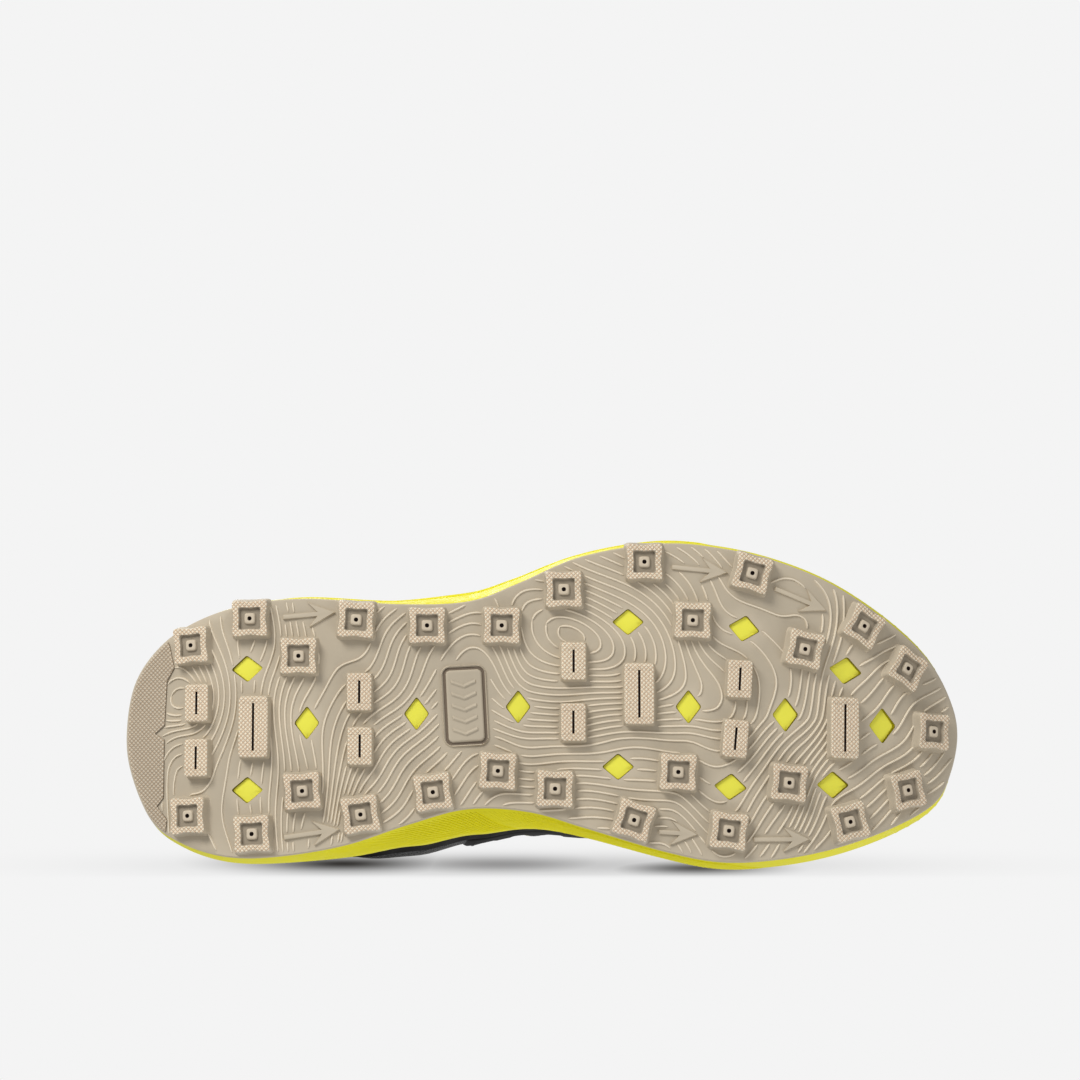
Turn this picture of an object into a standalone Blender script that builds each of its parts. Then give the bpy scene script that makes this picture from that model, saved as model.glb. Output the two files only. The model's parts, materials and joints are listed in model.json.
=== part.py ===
"""A right-foot trail running shoe: toe along +X, medial side along +Y, standing on its lugs.

Lengths below are in millimetres and become metres when a mesh is made.
"""

import math

import bmesh
import bpy
import numpy as np

# ---- driving dimensions -------------------------------------------------
MM = 0.001
TOE_X, HEEL_X = 150.0, -150.0
LUG = 4.0  # lug depth
SHEET = 2.0  # outsole sheet
BOND = 0.3  # gap kept between neighbouring pieces
FILM = 1.2  # overlay film
MESH = 1.2  # upper textile
LAP = 0.6  # overlay film stands off the textile by this
LIP = 3.0  # midsole lip round the upper
STATIONS = 30  # columns a side, heel to toe
FOAM = 7.0  # collar padding
EYELET_HOLE, EYELET_RIM = 2.6, 4.2
LACE_R = 1.6
EYELETS = [0.604, 0.576, 0.548, 0.520, 0.491, 0.462]  # stations of the six pairs, lowest first
EYELET_V = 0.86
ROWS = np.array([-1, -0.5, 0, 0.07, 0.15, 0.25, 0.36, 0.48, 0.6, 0.72, 0.86, 1.0])  # heights where the textile is sampled
ORIGIN = np.array([-0.64, -1.70, -0.107])  # the foot of the bounding box in drawing coordinates


def smooth(*pairs):
    """A curve through (x, y) pairs that never overshoots them."""
    xs, ys = np.array(pairs, float).T
    d = np.diff(ys) / np.diff(xs)
    m = np.concatenate([[d[0]], (d[1:] + d[:-1]) / 2, [d[-1]]])
    flat = np.sign(d[1:]) != np.sign(d[:-1])
    m[1:-1][flat] = 0
    lim = 3 * np.minimum(np.abs(np.append(d, d[-1])), np.abs(np.insert(d, 0, d[0])))
    m = np.sign(m) * np.minimum(np.abs(m), lim)

    def at(x):
        x = np.clip(np.asarray(x, float), xs[0], xs[-1])
        i = np.clip(np.searchsorted(xs, x, side="right") - 1, 0, len(xs) - 2)
        h = xs[i + 1] - xs[i]
        u = (x - xs[i]) / h
        return (
            ys[i] * (1 + 2 * u) * (1 - u) ** 2
            + ys[i + 1] * u * u * (3 - 2 * u)
            + m[i] * h * u * (1 - u) ** 2
            - m[i + 1] * h * u * u * (1 - u)
        )

    return at


# ---- sole outline, rocker and heights -----------------------------------
OUTLINE = np.array([
    (-150, 7), (-147, -10), (-138, -23), (-125, -31.5), (-107, -37), (-85, -39),
    (-52, -37), (-27, -38), (-9, -44.5), (13, -54), (41, -59), (64, -57.5),
    (86, -52.5), (107, -44), (128, -30), (141, -17), (148, -3), (150, 9),
    (147.5, 22.5), (142, 33.5), (128, 42.5), (107, 50.5), (85, 55), (64, 56),
    (43, 52), (16, 44), (-5, 38), (-27, 37), (-48, 42.5), (-71, 50), (-95, 54),
    (-114, 54), (-130, 49), (-141, 40.5), (-148.5, 22.5),
], float)  # fmt: skip


def closed_curve(points, per=40):
    """Points of a smooth closed curve through the given ones."""
    out = []
    n = len(points)
    u = np.linspace(0, 1, per, endpoint=False)[:, None]
    for i in range(n):
        p0, p1, p2, p3 = (points[(i + k) % n] for k in (-1, 0, 1, 2))
        out.append(
            0.5
            * (
                2 * p1
                + (p2 - p0) * u
                + (2 * p0 - 5 * p1 + 4 * p2 - p3) * u**2
                + (3 * p1 - p0 - 3 * p2 + p3) * u**3
            )
        )
    return np.concatenate(out)


DENSE = closed_curve(OUTLINE)
HEEL_I, TOE_I = DENSE[:, 0].argmin(), DENSE[:, 0].argmax()
DENSE = np.roll(DENSE, -HEEL_I, axis=0)
TOE_I = (TOE_I - HEEL_I) % len(DENSE)
SIDE_XY = {-1: DENSE[: TOE_I + 1], 1: np.concatenate([DENSE[TOE_I:], DENSE[:1]])[::-1]}


def outline(a):
    """Outline point and outward normal at a: 0 heel, 1 toe along the lateral side, 2 heel again."""
    a = np.mod(np.asarray(a, float), 2)
    lateral = a <= 1
    t = np.where(lateral, a, 2 - a)
    x0, x1 = DENSE[0, 0], DENSE[TOE_I, 0]
    want = x0 + (x1 - x0) * (1 - np.cos(np.pi * t)) / 2
    point = np.empty(a.shape + (2,))
    normal = np.empty(a.shape + (2,))
    for s, mask in ((-1, lateral), (1, ~lateral)):
        xy = SIDE_XY[s]
        run = np.concatenate([[0], np.cumsum(np.hypot(*np.diff(xy, axis=0).T))])
        at = np.interp(want[mask], np.maximum.accumulate(xy[:, 0]) + run * 1e-7, run)
        for k in (0, 1):
            point[mask, k] = np.interp(at, run, xy[:, k])
        ahead, back = np.minimum(at + 2, run[-1]), np.maximum(at - 2, 0)
        d = np.stack([np.interp(ahead, run, xy[:, k]) - np.interp(back, run, xy[:, k]) for k in (0, 1)], -1)
        d /= np.linalg.norm(d, axis=-1, keepdims=True)
        normal[mask] = np.stack([-s * d[..., 1], s * d[..., 0]], -1)
    tips = np.isclose(t, 0) | np.isclose(t, 1)
    normal[tips] = np.stack([np.where(t[tips] > 0.5, 1.0, -1.0), 0 * t[tips]], -1)
    return point, normal


def rocker(x):
    x = np.asarray(x, float)
    toe = np.clip((x - 45) / 105, 0, None)
    heel = np.clip((-80 - x) / 70, 0, None)
    return 26 * toe**2.5 + 16 * heel**2.2


def slope(x):
    return (rocker(x + 0.05) - rocker(x - 0.05)) / 0.1


FLARE_LATERAL = smooth((-150, 0.5), (-125, 1.8), (-85, 2), (-55, 2.6), (-30, 4.6), (-8, 3.4), (15, 2.2), (110, 2.2), (140, 1.6), (150, 0.6))
FLARE_MEDIAL = smooth((-150, 0.5), (-130, 1.2), (-100, 1.6), (-85, 2.3), (-71, 3.6), (-56, 5.5), (-42, 8), (-23, 8.4), (-5, 5.4), (9, 3.3), (24, 2.3), (45, 1.8), (110, 2.2), (137, 1.8), (150, 0.6))
WALL_TOP = smooth((-150, 47), (-130, 43), (-100, 40.5), (-60, 39), (-20, 35.5), (20, 31), (60, 30), (90, 32.5), (120, 38), (140, 43), (150, 46))
FOOTBED = smooth((-150, 36.5), (-140, 36), (-110, 33.5), (-60, 32), (-20, 29), (20, 25.5), (60, 24.5), (90, 27.5), (120, 33), (146, 40))
ARCH_RISE = smooth((-75, 0), (-30, 3.5), (15, 0))


def flare(a, x):
    a = np.mod(a, 2)
    return np.where(a <= 1, FLARE_LATERAL(x), FLARE_MEDIAL(x))


def wall_top(a, x):
    return WALL_TOP(x) + np.where(np.mod(a, 2) > 1, ARCH_RISE(x), 0)


# ---- upper surface -------------------------------------------------------
# Top line: collar edge, throat edge, then the ridge over the toes.
TOP_X = smooth((0, -142), (2, -139), (4, -129), (6, -114), (8, -97), (10, -79), (12, -60), (13, -47), (14, -33), (16, -5), (18, 22), (19, 34), (20, 43), (22, 62), (24, 82), (26, 101), (28, 115), (30, 125))
TOP_HALF = smooth((0, 0), (2, 9.5), (4, 20), (6, 27), (8, 30), (10, 29.5), (12, 25), (13, 19.5), (14, 17.8), (16, 15.5), (18, 13), (19, 10), (19.6, 6), (20, 0), (30, 0))
TOP_Z = smooth((0, 99), (2, 98), (4, 93), (6, 85), (8, 79), (10, 79.5), (12, 91), (13, 104.5), (14, 103), (16, 92.5), (18, 82), (19, 77.8), (20, 74.8), (22, 72.4), (24, 70), (26, 67.2), (28, 64), (30, 60.5))
CENTRE_Y = smooth((-142, 7.5), (-110, 8.5), (-80, 6), (-50, 3), (0, 1.5), (45, 1), (80, 3), (110, 6.5), (130, 9))
HANDLE_X = smooth((0, 4), (4, 2), (8, 0), (10, 0), (12, 1), (13, 2), (16, 2), (18, 3), (24, 2.9), (27, 6.5), (29, 12), (30, 14))
HANDLE_Y = smooth((0, 0), (4, 1.5), (8, 3), (10, 4), (12, 7), (13, 11), (14, 15), (16, 19), (18, 22), (20, 25), (24, 26), (27, 20), (29, 8), (30, 0))
HANDLE_Z = smooth((0, -22), (4, -20), (8, -17), (10, -18), (12, -20), (13, -16), (14, -9), (16, -6), (18, -4), (20, -0.4), (24, -0.5), (27, -1.6), (29, -3.6), (30, -4.6))
LIFT = smooth((0, 24), (6, 20), (10, 16), (13, 24), (18, 22), (22, 19), (26, 15), (28, 13), (30, 12))
BULGE = smooth((0, 6), (4, 5), (8, 2.5), (12, 2), (16, 3), (20, 4), (24, 4), (28, 2.5), (30, 2))


def feather(a, inset=0.0):
    """Foot of the upper's outer face, just inside the midsole lip."""
    p, n = outline(a)
    f = flare(a, p[..., 0]) - 2.2 - LIP - BOND - inset
    return p + n * f[..., None], n, p[..., 0]


def skin(a, v):
    """Upper's outer face: v 0 at the midsole's rim, 1 at the top line, down to -1 at the footbed."""
    a, v = np.broadcast_arrays(np.asarray(a, float), np.asarray(v, float))
    side = np.where(np.mod(a, 2) <= 1, -1.0, 1.0)
    k = np.where(np.mod(a, 2) <= 1, np.mod(a, 2), 2 - np.mod(a, 2)) * STATIONS
    foot, n, x = feather(a)
    z0 = wall_top(a, x)
    p0 = np.concatenate([foot, z0[..., None]], -1)
    tx = TOP_X(k)
    p3 = np.stack([tx, CENTRE_Y(tx) + side * TOP_HALF(k), TOP_Z(k)], -1)
    out = np.concatenate([n * BULGE(k)[..., None], LIFT(k)[..., None]], -1)
    p1 = p0 + out
    p2 = p3 + np.stack([HANDLE_X(k), side * HANDLE_Y(k), HANDLE_Z(k)], -1)
    u = np.clip(v, 0, 1)[..., None]
    bez = p0 * (1 - u) ** 3 + 3 * p1 * u * (1 - u) ** 2 + 3 * p2 * u * u * (1 - u) + p3 * u**3
    drop = np.clip(-v, 0, 1) * (z0 - FOOTBED(x) - 0.4)
    bez[..., 2] -= drop
    return bez


def skin_normal(a, v):
    e = 2e-3
    v = np.clip(v, 0.01, 0.985)
    da = skin(a + e, v) - skin(a - e, v)
    dv = skin(a, v + e) - skin(a, v - e)
    n = np.cross(da, dv)
    return n / np.maximum(np.linalg.norm(n, axis=-1, keepdims=True), 1e-9)


def under(a, v, depth):
    """The outer face moved inwards by depth."""
    return skin(a, v) - skin_normal(a, v) * np.asarray(depth)[..., None]


# ---- mesh makers -------------------------------------------------------------
def piece(name, points, faces):
    mesh = bpy.data.meshes.new(name)
    mesh.from_pydata(((np.asarray(points) - ORIGIN) * MM).tolist(), [], faces)
    obj = bpy.data.objects.new(name, mesh)
    bpy.context.scene.collection.objects.link(obj)
    bm = bmesh.new()
    bm.from_mesh(mesh)
    bmesh.ops.remove_doubles(bm, verts=bm.verts, dist=2e-6)
    bmesh.ops.dissolve_degenerate(bm, edges=bm.edges, dist=1e-6)
    bmesh.ops.recalc_face_normals(bm, faces=bm.faces)
    bm.to_mesh(mesh)
    bm.free()
    return obj


def slab(name, outer, inner, folded=False):
    """A closed solid between two grids of the same shape (columns, rows, 3). Folded: the last column closes on itself."""
    c, r = outer.shape[:2]
    pts = np.concatenate([outer.reshape(-1, 3), inner.reshape(-1, 3)])
    o = lambda i, j: i * r + j
    n = lambda i, j: c * r + i * r + j
    faces = []
    for i in range(c - 1):
        for j in range(r - 1):
            faces.append((o(i, j), o(i + 1, j), o(i + 1, j + 1), o(i, j + 1)))
            faces.append((n(i, j), n(i, j + 1), n(i + 1, j + 1), n(i + 1, j)))
        faces.append((o(i, 0), n(i, 0), n(i + 1, 0), o(i + 1, 0)))
        faces.append((o(i, r - 1), o(i + 1, r - 1), n(i + 1, r - 1), n(i, r - 1)))
    for j in range(r - 1):
        faces.append((o(0, j), o(0, j + 1), n(0, j + 1), n(0, j)))
        if not folded:
            faces.append((o(c - 1, j), n(c - 1, j), n(c - 1, j + 1), o(c - 1, j + 1)))
    return piece(name, pts, faces)


def vault(name, first, low, outer, inner):
    """A piece that runs over the toes from side to side, from station first to the toe."""
    k = np.array([first] + [q for q in range(20, 31) if q > first], float)[:, None]
    half = np.concatenate([[low], ROWS[ROWS > low + 0.02]])[None, :]
    a, v = np.broadcast_arrays(k / STATIONS, half)
    n1, n2 = skin_normal(a, v), skin_normal(2 - a, v)
    ridge = n1[:, -1] + n2[:, -1]
    n1[:, -1] = n2[:, -1] = ridge / np.linalg.norm(ridge, axis=-1, keepdims=True)

    def at(depth):
        return np.concatenate([skin(a, v) - n1 * depth, (skin(2 - a, v) - n2 * depth)[:, -2::-1]], 1)

    return slab(name, at(outer), at(inner), folded=True)


def patch(name, first, last, low, high, outer, inner, rows=8):
    """A piece of the upper between stations first and last (30 a side, past 30 is the medial side).

    low, high give v at a station; outer, inner give depth at (station, share of the height).
    """
    stops = sorted({first, last, *[s for s in list(range(-30, 61)) + [19.5, 40.5] if first < s < last]})
    s = np.array(stops, float)[:, None]
    share = np.linspace(0, 1, rows)[None, :] if np.isscalar(rows) else np.asarray(rows)[None, :]
    near = np.abs(np.where(s > 30, 60 - s, s))
    v = low(near) + (high(near) - low(near)) * share
    a = np.broadcast_to(s / STATIONS, v.shape)
    near = np.broadcast_to(near, v.shape)
    share = np.broadcast_to(share, v.shape)
    return slab(name, under(a, v, outer(near, share)), under(a, v, inner(near, share)))


def flat(value):
    return lambda k, *more: np.full(np.shape(k), float(value))


def ring(offset, z):
    """Closed loop of points round the outline, 2 * STATIONS long."""
    a = np.arange(2 * STATIONS) / STATIONS
    p, n = outline(a)
    q = p + n * np.asarray(offset(a, p[:, 0]))[:, None]
    return np.concatenate([q, np.asarray(z(a, q[:, 0]))[:, None]], 1)


def stacked(name, rings):
    """A solid through a stack of rings, capped across at the first and the last."""
    m = 2 * STATIONS
    faces = []
    for k in range(len(rings) - 1):
        for i in range(m):
            j = (i + 1) % m
            faces.append((k * m + i, k * m + j, (k + 1) * m + j, (k + 1) * m + i))
    for k in (0, len(rings) - 1):
        b = k * m
        for i in range(STATIONS):
            quad = [b + i, b + i + 1, b + (m - i - 1) % m, b + (m - i) % m]
            quad = list(dict.fromkeys(quad))
            faces.append(tuple(quad if k else quad[::-1]))
    return piece(name, np.concatenate(rings), faces)


def boolean(target, cutters, operation):
    for c in cutters:
        mod = target.modifiers.new("cut", "BOOLEAN")
        mod.object, mod.operation, mod.solver = c, operation, "MANIFOLD"
    graph = bpy.context.evaluated_depsgraph_get()
    mesh = bpy.data.meshes.new_from_object(target.evaluated_get(graph))
    target.modifiers.clear()
    target.data = mesh
    for c in cutters:
        bpy.data.objects.remove(c)


def tube(name, path, radius, sides=8):
    """A round cord along a path, with flat ends."""
    path = np.asarray(path, float)
    d = np.gradient(path, axis=0)
    d /= np.linalg.norm(d, axis=1, keepdims=True)
    up = np.array([0.0, 0.0, 1.0])
    side = np.cross(d[0], up)
    frames = []
    for t in d:
        side = side - t * side.dot(t)
        side /= np.linalg.norm(side)
        frames.append((side.copy(), np.cross(t, side)))
    ang = np.arange(sides) * 2 * np.pi / sides
    pts = [p + radius * (math.cos(q) * u + math.sin(q) * w) for p, (u, w) in zip(path, frames) for q in ang]
    faces = [tuple(range(sides))[::-1], tuple((len(path) - 1) * sides + k for k in range(sides))]
    for i in range(len(path) - 1):
        for k in range(sides):
            j = (k + 1) % sides
            faces.append((i * sides + k, i * sides + j, (i + 1) * sides + j, (i + 1) * sides + k))
    return piece(name, pts, faces)


def spline(points, step):
    """Points about every step along a smooth open curve through the given ones."""
    p = np.asarray(points, float)
    p = np.concatenate([[2 * p[0] - p[1]], p, [2 * p[-1] - p[-2]]])
    out = []
    for i in range(1, len(p) - 2):
        n = max(1, round(np.linalg.norm(p[i + 1] - p[i]) / step))
        u = np.linspace(0, 1, n, endpoint=False)[:, None]
        a, b, c, d = p[i - 1 : i + 3]
        out.append(0.5 * (2 * b + (c - a) * u + (2 * a - 5 * b + 4 * c - d) * u**2 + (3 * b - a - 3 * c + d) * u**3))
    return np.concatenate(out + [p[-2:-1]])


# ---- outsole ---------------------------------------------------------------
SQUARES = [
    (-127.5, -22.3, -4), (-105.8, -31.6, -1), (-87.9, -17.9, 0), (-67.2, -31, 3), (-41.6, -28.9, 0),
    (-14.7, -28.9, 1), (7.7, -42, -1), (36.8, -52, 0), (75.9, -48, 15), (54.2, -30.8, 2),
    (95, -20.7, 12), (117.1, -29.6, 30), (133.5, -14.7, 30), (142, 8.2, 3), (133, 29.6, -12),
    (111.1, 41.4, -14), (88.8, 27.6, 6), (66.8, 44.9, 7), (48.7, 23.9, 3), (32.8, 41.1, 18),
    (4.5, 29.9, 2), (-16, 23.5, 3), (-39.3, 31.1, -7), (-65.2, 39.1, -8), (-86.2, 30.7, -4),
    (-104.3, 46, -3), (-128, 39.3, -2),
]  # fmt: skip
SMALL_BARS = [(-125, -1.3, 0), (-125, 18.5, 0), (-65.9, -4.9, 0), (-65.6, 14.6, 0), (11.2, -16, 0), (11.1, 6, 0), (71.1, -9.6, 3), (69.4, 11.9, 5)]
LARGE_BARS = [(-104.1, 7.6, 0), (34.8, -4.2, 0), (109.4, 7.6, 1)]
DIAMONDS = [
    (-106.7, -13.7, -3, 11, 9.3), (-106.3, 30.1, 0, 11, 9.3), (30.9, -30.5, 0, 11, 9.3), (72.9, -28.2, 10, 11, 9.3),
    (110, -13.5, 8, 11, 9.3), (27.2, 21.8, 0, 11, 9.3), (67.6, 29, 5, 11, 9.3), (104.9, 28, 0, 11, 9.3),
    (-84.9, 6, 0, 8.7, 11.6), (-45.4, 2.7, 0, 8.7, 11.6), (-8.8, 0.2, 0, 8.7, 11.6), (52.6, 0.2, 0, 8.7, 11.6),
    (87.7, 2.9, 0, 8.7, 11.6), (123.6, 6.2, 0, 8.7, 11.6),
]  # fmt: skip
ARROWS = [
    (-93.7, -32.2, -75, -33.9), (-92.7, 47.2, -72.9, 44.3), (46.9, -50.4, 66.9, -48.4),
    (84.3, -42.7, 103.3, -35.2), (41.8, 45.2, 55.6, 46.1), (75.9, 47.9, 96.2, 47.7),
]  # fmt: skip
PLATE = (-28, -0.2, -3, 15.5, 29)
PAD_FRONT = [(-135.5, -23), (-133.6, -14.6), (-136.3, -9.6), (-137, 6.3), (-140.6, 9.2), (-137.1, 11.4), (-137.1, 32.4), (-139.5, 35.5), (-135.7, 40.4)]


def on_sole(x, y, turn, face_height):
    """A function that puts (u, v, w) of a feature on the sole: w is how far it stands out of the sheet."""
    xb = x
    for _ in range(3):
        xb = x - face_height * math.sin(math.atan(slope(xb)))
    ang = math.atan(slope(xb))
    ca, sa = math.cos(ang), math.sin(ang)
    ct, st = math.cos(math.radians(turn)), math.sin(math.radians(turn))
    base = np.array([xb, y, LUG + float(rocker(xb))])

    def put(u, v, w):
        du, dv = u * ct - v * st, u * st + v * ct
        return base + np.array([du * ca + w * sa, dv, du * sa - w * ca])

    return put


def prism(put, outline_uv, low, high, shrink=1.0):
    n = len(outline_uv)
    pts = [put(u, v, low) for u, v in outline_uv] + [put(u * shrink, v * shrink, high) for u, v in outline_uv]
    faces = [tuple(range(n)), tuple(range(n, 2 * n))[::-1]]
    faces += [(i, n + i, n + (i + 1) % n, (i + 1) % n) for i in range(n)]
    return pts, faces


def gather(name, prisms):
    pts, faces = [], []
    for p, f in prisms:
        faces += [tuple(len(pts) + i for i in q) for q in f]
        pts += p
    return piece(name, pts, faces)


def box_uv(w, h):
    return [(-w / 2, -h / 2), (w / 2, -h / 2), (w / 2, h / 2), (-w / 2, h / 2)]


def arrow_uv(length):
    h = length / 2
    return [(-h, -0.75), (h - 5, -0.75), (h - 8, -4.1), (h - 5.5, -4.1), (h, 0), (h - 5.5, 4.1), (h - 8, 4.1), (h - 5, 0.75), (-h, 0.75)]


def build_outsole():
    flatring = lambda z: ring(lambda a, x: 0 * x, lambda a, x: z + rocker(x))
    sole = stacked("outsole", [flatring(LUG), flatring(LUG + SHEET)])
    raised = []
    for x, y, r in SQUARES:
        raised.append(prism(on_sole(x, y, r, LUG), box_uv(13.6, 13.6), -0.7, LUG, 0.94))
    for x, y, r in SMALL_BARS:
        raised.append(prism(on_sole(x, y, r, LUG), box_uv(9.2, 14), -0.7, LUG, 0.95))
    for x, y, r in LARGE_BARS:
        raised.append(prism(on_sole(x, y, r, LUG), box_uv(11.2, 23), -0.7, LUG, 0.96))
    lugs = gather("lugs", raised)
    low = [prism(on_sole(PLATE[0], PLATE[1], PLATE[2], 0.8), box_uv(PLATE[3] - 2.4, PLATE[4] - 2.4), -0.7, 0.8)]
    for x0, y0, x1, y1 in ARROWS:
        turn = math.degrees(math.atan2(y1 - y0, x1 - x0))
        low.append(prism(on_sole((x0 + x1) / 2, (y0 + y1) / 2, turn, 0.8), arrow_uv(math.hypot(x1 - x0, y1 - y0)), -0.7, 0.8))
    marks = gather("marks", low)
    heel = [p for p in ring(lambda a, x: 0 * x - 0.9, lambda a, x: 0 * x)[:, :2].tolist() if p[0] < -136]
    loop = PAD_FRONT + sorted((p for p in heel if p[1] > 9), key=lambda p: -p[1]) + sorted((p for p in heel if p[1] <= 9), key=lambda p: -p[1])
    pts = [(x, y, LUG + float(rocker(x)) + 0.7) for x, y in loop] + [(x, y, LUG + float(rocker(x)) - 1.0) for x, y in loop]
    n = len(loop)
    pad = piece("pad", pts, [tuple(range(n)), tuple(range(n, 2 * n))[::-1]] + [(i, n + i, n + (i + 1) % n, (i + 1) % n) for i in range(n)])
    boolean(sole, [lugs, marks, pad], "UNION")
    cuts = []
    for x, y, r in SQUARES:
        cuts.append(prism(on_sole(x, y, r, LUG), box_uv(7.9, 7.9), LUG - 0.8, LUG + 1))
    for x, y, r in SMALL_BARS:
        cuts.append(prism(on_sole(x, y, r, LUG), box_uv(0.9, 8.2), LUG - 1.2, LUG + 1))
    for x, y, r in LARGE_BARS:
        cuts.append(prism(on_sole(x, y, r, LUG), box_uv(0.9, 17.2), LUG - 1.2, LUG + 1))
    for x, y, r, w, h in DIAMONDS:
        cuts.append(prism(on_sole(x, y, r, 0), [(-w / 2, 0), (0, -h / 2), (w / 2, 0), (0, h / 2)], -SHEET - 2, 2))
    x, y, r, w, h = PLATE
    boolean(sole, [gather("cuts", cuts)], "DIFFERENCE")
    return sole


# ---- sole unit above the outsole -------------------------------------------
def build_midsole():
    zb = lambda a, x: LUG + SHEET + BOND + rocker(x)
    top = lambda a, x: wall_top(a, x)
    mix = lambda k: (lambda a, x: zb(a, x) + k * (top(a, x) - zb(a, x)))
    return stacked(
        "midsole",
        [
            ring(lambda a, x: 0 * x, zb),
            ring(lambda a, x: 0.7 * flare(a, x), mix(0.28)),
            ring(flare, mix(0.48)),
            ring(lambda a, x: flare(a, x) - 0.7, mix(0.8)),
            ring(lambda a, x: flare(a, x) - 2.2, top),
            ring(lambda a, x: flare(a, x) - 2.2 - LIP, lambda a, x: top(a, x) - 0.2),
            ring(lambda a, x: flare(a, x) - 2.2 - LIP, lambda a, x: FOOTBED(x)),
        ],
    )


def board(name, inset, low, high):
    def at(z):
        return ring(lambda a, x: flare(a, x) - 2.2 - LIP - BOND - inset, lambda a, x: FOOTBED(x) + z)

    return stacked(name, [at(low), at(high)])


# ---- tongue, lace, tab -------------------------------------------------------
TONGUE_X = smooth((0, 51), (1, 40), (2, 14), (3, -8), (4, -30), (5, -47), (6, -57), (7, -64), (8, -69))
TONGUE_Z = smooth((0, 66), (1, 70), (2, 80), (3, 89), (4, 97), (5, 102.5), (6, 108.5), (7, 116), (8, 124))
TONGUE_HALF = smooth((0, 12), (1, 15), (2, 18), (4, 20), (5, 20), (6, 23), (7, 25), (7.6, 23), (8, 17))
TONGUE_THICK = smooth((0, 2.5), (1, 4.5), (4, 6), (6, 7.5), (7.5, 7), (8, 4))
HINGE_Q = 5.12


def tongue_point(q, across, depth):
    """q along the tongue from its root, across -1 to 1, depth below the outer face."""
    q, across = np.broadcast_arrays(np.asarray(q, float), np.asarray(across, float))
    dx, dz = TONGUE_X(q + 0.02) - TONGUE_X(q - 0.02), TONGUE_Z(q + 0.02) - TONGUE_Z(q - 0.02)
    # +Z-ish normal of the centre line: rotate the (rearward, upward) tangent
    ln = np.hypot(dx, dz)
    nx, nz = dz / ln, -dx / ln
    y = across * TONGUE_HALF(q)
    drop = y * y / 72
    d = depth + drop
    x = TONGUE_X(q) - nx * d
    z = TONGUE_Z(q) - nz * d
    return np.stack([x, CENTRE_Y(TONGUE_X(q)) + y, z], -1)


def tongue(name, q0, q1, n):
    q = np.linspace(q0, q1, n)[:, None]
    across = np.linspace(-1, 1, 9)[None, :]
    thick = TONGUE_THICK(q) * (1 - 0.55 * across**4)
    return slab(name, tongue_point(q, across, 0.0), tongue_point(q, across, thick))


def build_patch():
    """A blank woven patch on the face of the tongue's free end."""
    q = np.linspace(5.75, 7.1, 4)[:, None]
    across = np.linspace(-0.5, 0.5, 7)[None, :]
    slab("tongue_patch", tongue_point(q, across, -1.3), tongue_point(q, across, -0.5))


def eyelet_frame(side, k):
    """Centre on the eyestay's face, outward normal, and direction towards the throat."""
    t = EYELETS[k]
    a = np.array(t if side < 0 else 2 - t)
    v = np.array(EYELET_V)
    n = skin_normal(a, v)
    c = skin(a, v) + n * (LAP + FILM)
    e = skin(a, np.array(1.0)) - skin(a, np.array(0.9))
    e -= n * e.dot(n)
    return c, n, e / np.linalg.norm(e)


def build_eyelet(side, k):
    c, n, e = eyelet_frame(side, k)
    f = np.cross(n, e)
    seg = 12
    profile = [(EYELET_HOLE, 0.3), (EYELET_RIM, 0.3), (EYELET_RIM - 0.4, 1.0), (EYELET_HOLE + 0.4, 1.0)]
    pts = []
    for i in range(seg):
        q = 2 * math.pi * i / seg
        r = math.cos(q) * e + math.sin(q) * f
        pts += [c + r * a + n * b for a, b in profile]
    faces = []
    for i in range(seg):
        j = (i + 1) % seg
        for p in range(4):
            faces.append((4 * i + p, 4 * j + p, 4 * j + (p + 1) % 4, 4 * i + (p + 1) % 4))
    piece(f"eyelet_{'lateral' if side < 0 else 'medial'}_{k + 1}", pts, faces)


def hole_cutters(side, lift):
    out = []
    for k in range(len(EYELETS)):
        c, n, e = eyelet_frame(side, k)
        f = np.cross(n, e)
        ringpts = [math.cos(q) * e * EYELET_HOLE + math.sin(q) * f * EYELET_HOLE for q in np.arange(10) * 2 * math.pi / 10]
        pts = [c + r - n * 6 for r in ringpts] + [c + r + n * 2 for r in ringpts]
        faces = [tuple(range(10)), tuple(range(10, 20))[::-1]] + [(i, 10 + i, 10 + (i + 1) % 10, (i + 1) % 10) for i in range(10)]
        out.append((pts, faces))
    return gather("holes", out)


def mid(p, q, lift=0.0):
    return (np.asarray(p) + np.asarray(q)) / 2 + np.array([0, 0, lift])


def strand(side):
    """Lace from the middle of the bottom bar up to the knot, starting on this side."""
    pts = []
    s = side
    for k in range(len(EYELETS)):
        c, n, e = eyelet_frame(s, k)
        pts += [c + e * 9.0 + n * 2.4, c + e * 5.0 + n * 3.0, c + e * 1.4 + n * 3.2, c + n * 0.2 - e * 0.2, c + e * 1.0 - n * 5.2, c + e * 5.2 - n * 6.1, c + e * 10.4 - n * 6.0]
        if k + 1 < len(EYELETS):
            c2, n2, e2 = eyelet_frame(-s, k + 1)
            pts.append(mid(c + e * 10.4 - n * 6.0, c2 + e2 * 9.0 + n2 * 2.4, 1.0 + 1.75 * side * (1 if k % 2 == 0 else -1)))
            s = -s
    return pts, s


def over(side, t, v, lift):
    a = np.array(t if side < 0 else 2 - t)
    return skin(a, np.array(v)) + skin_normal(a, np.array(v)) * lift


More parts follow.
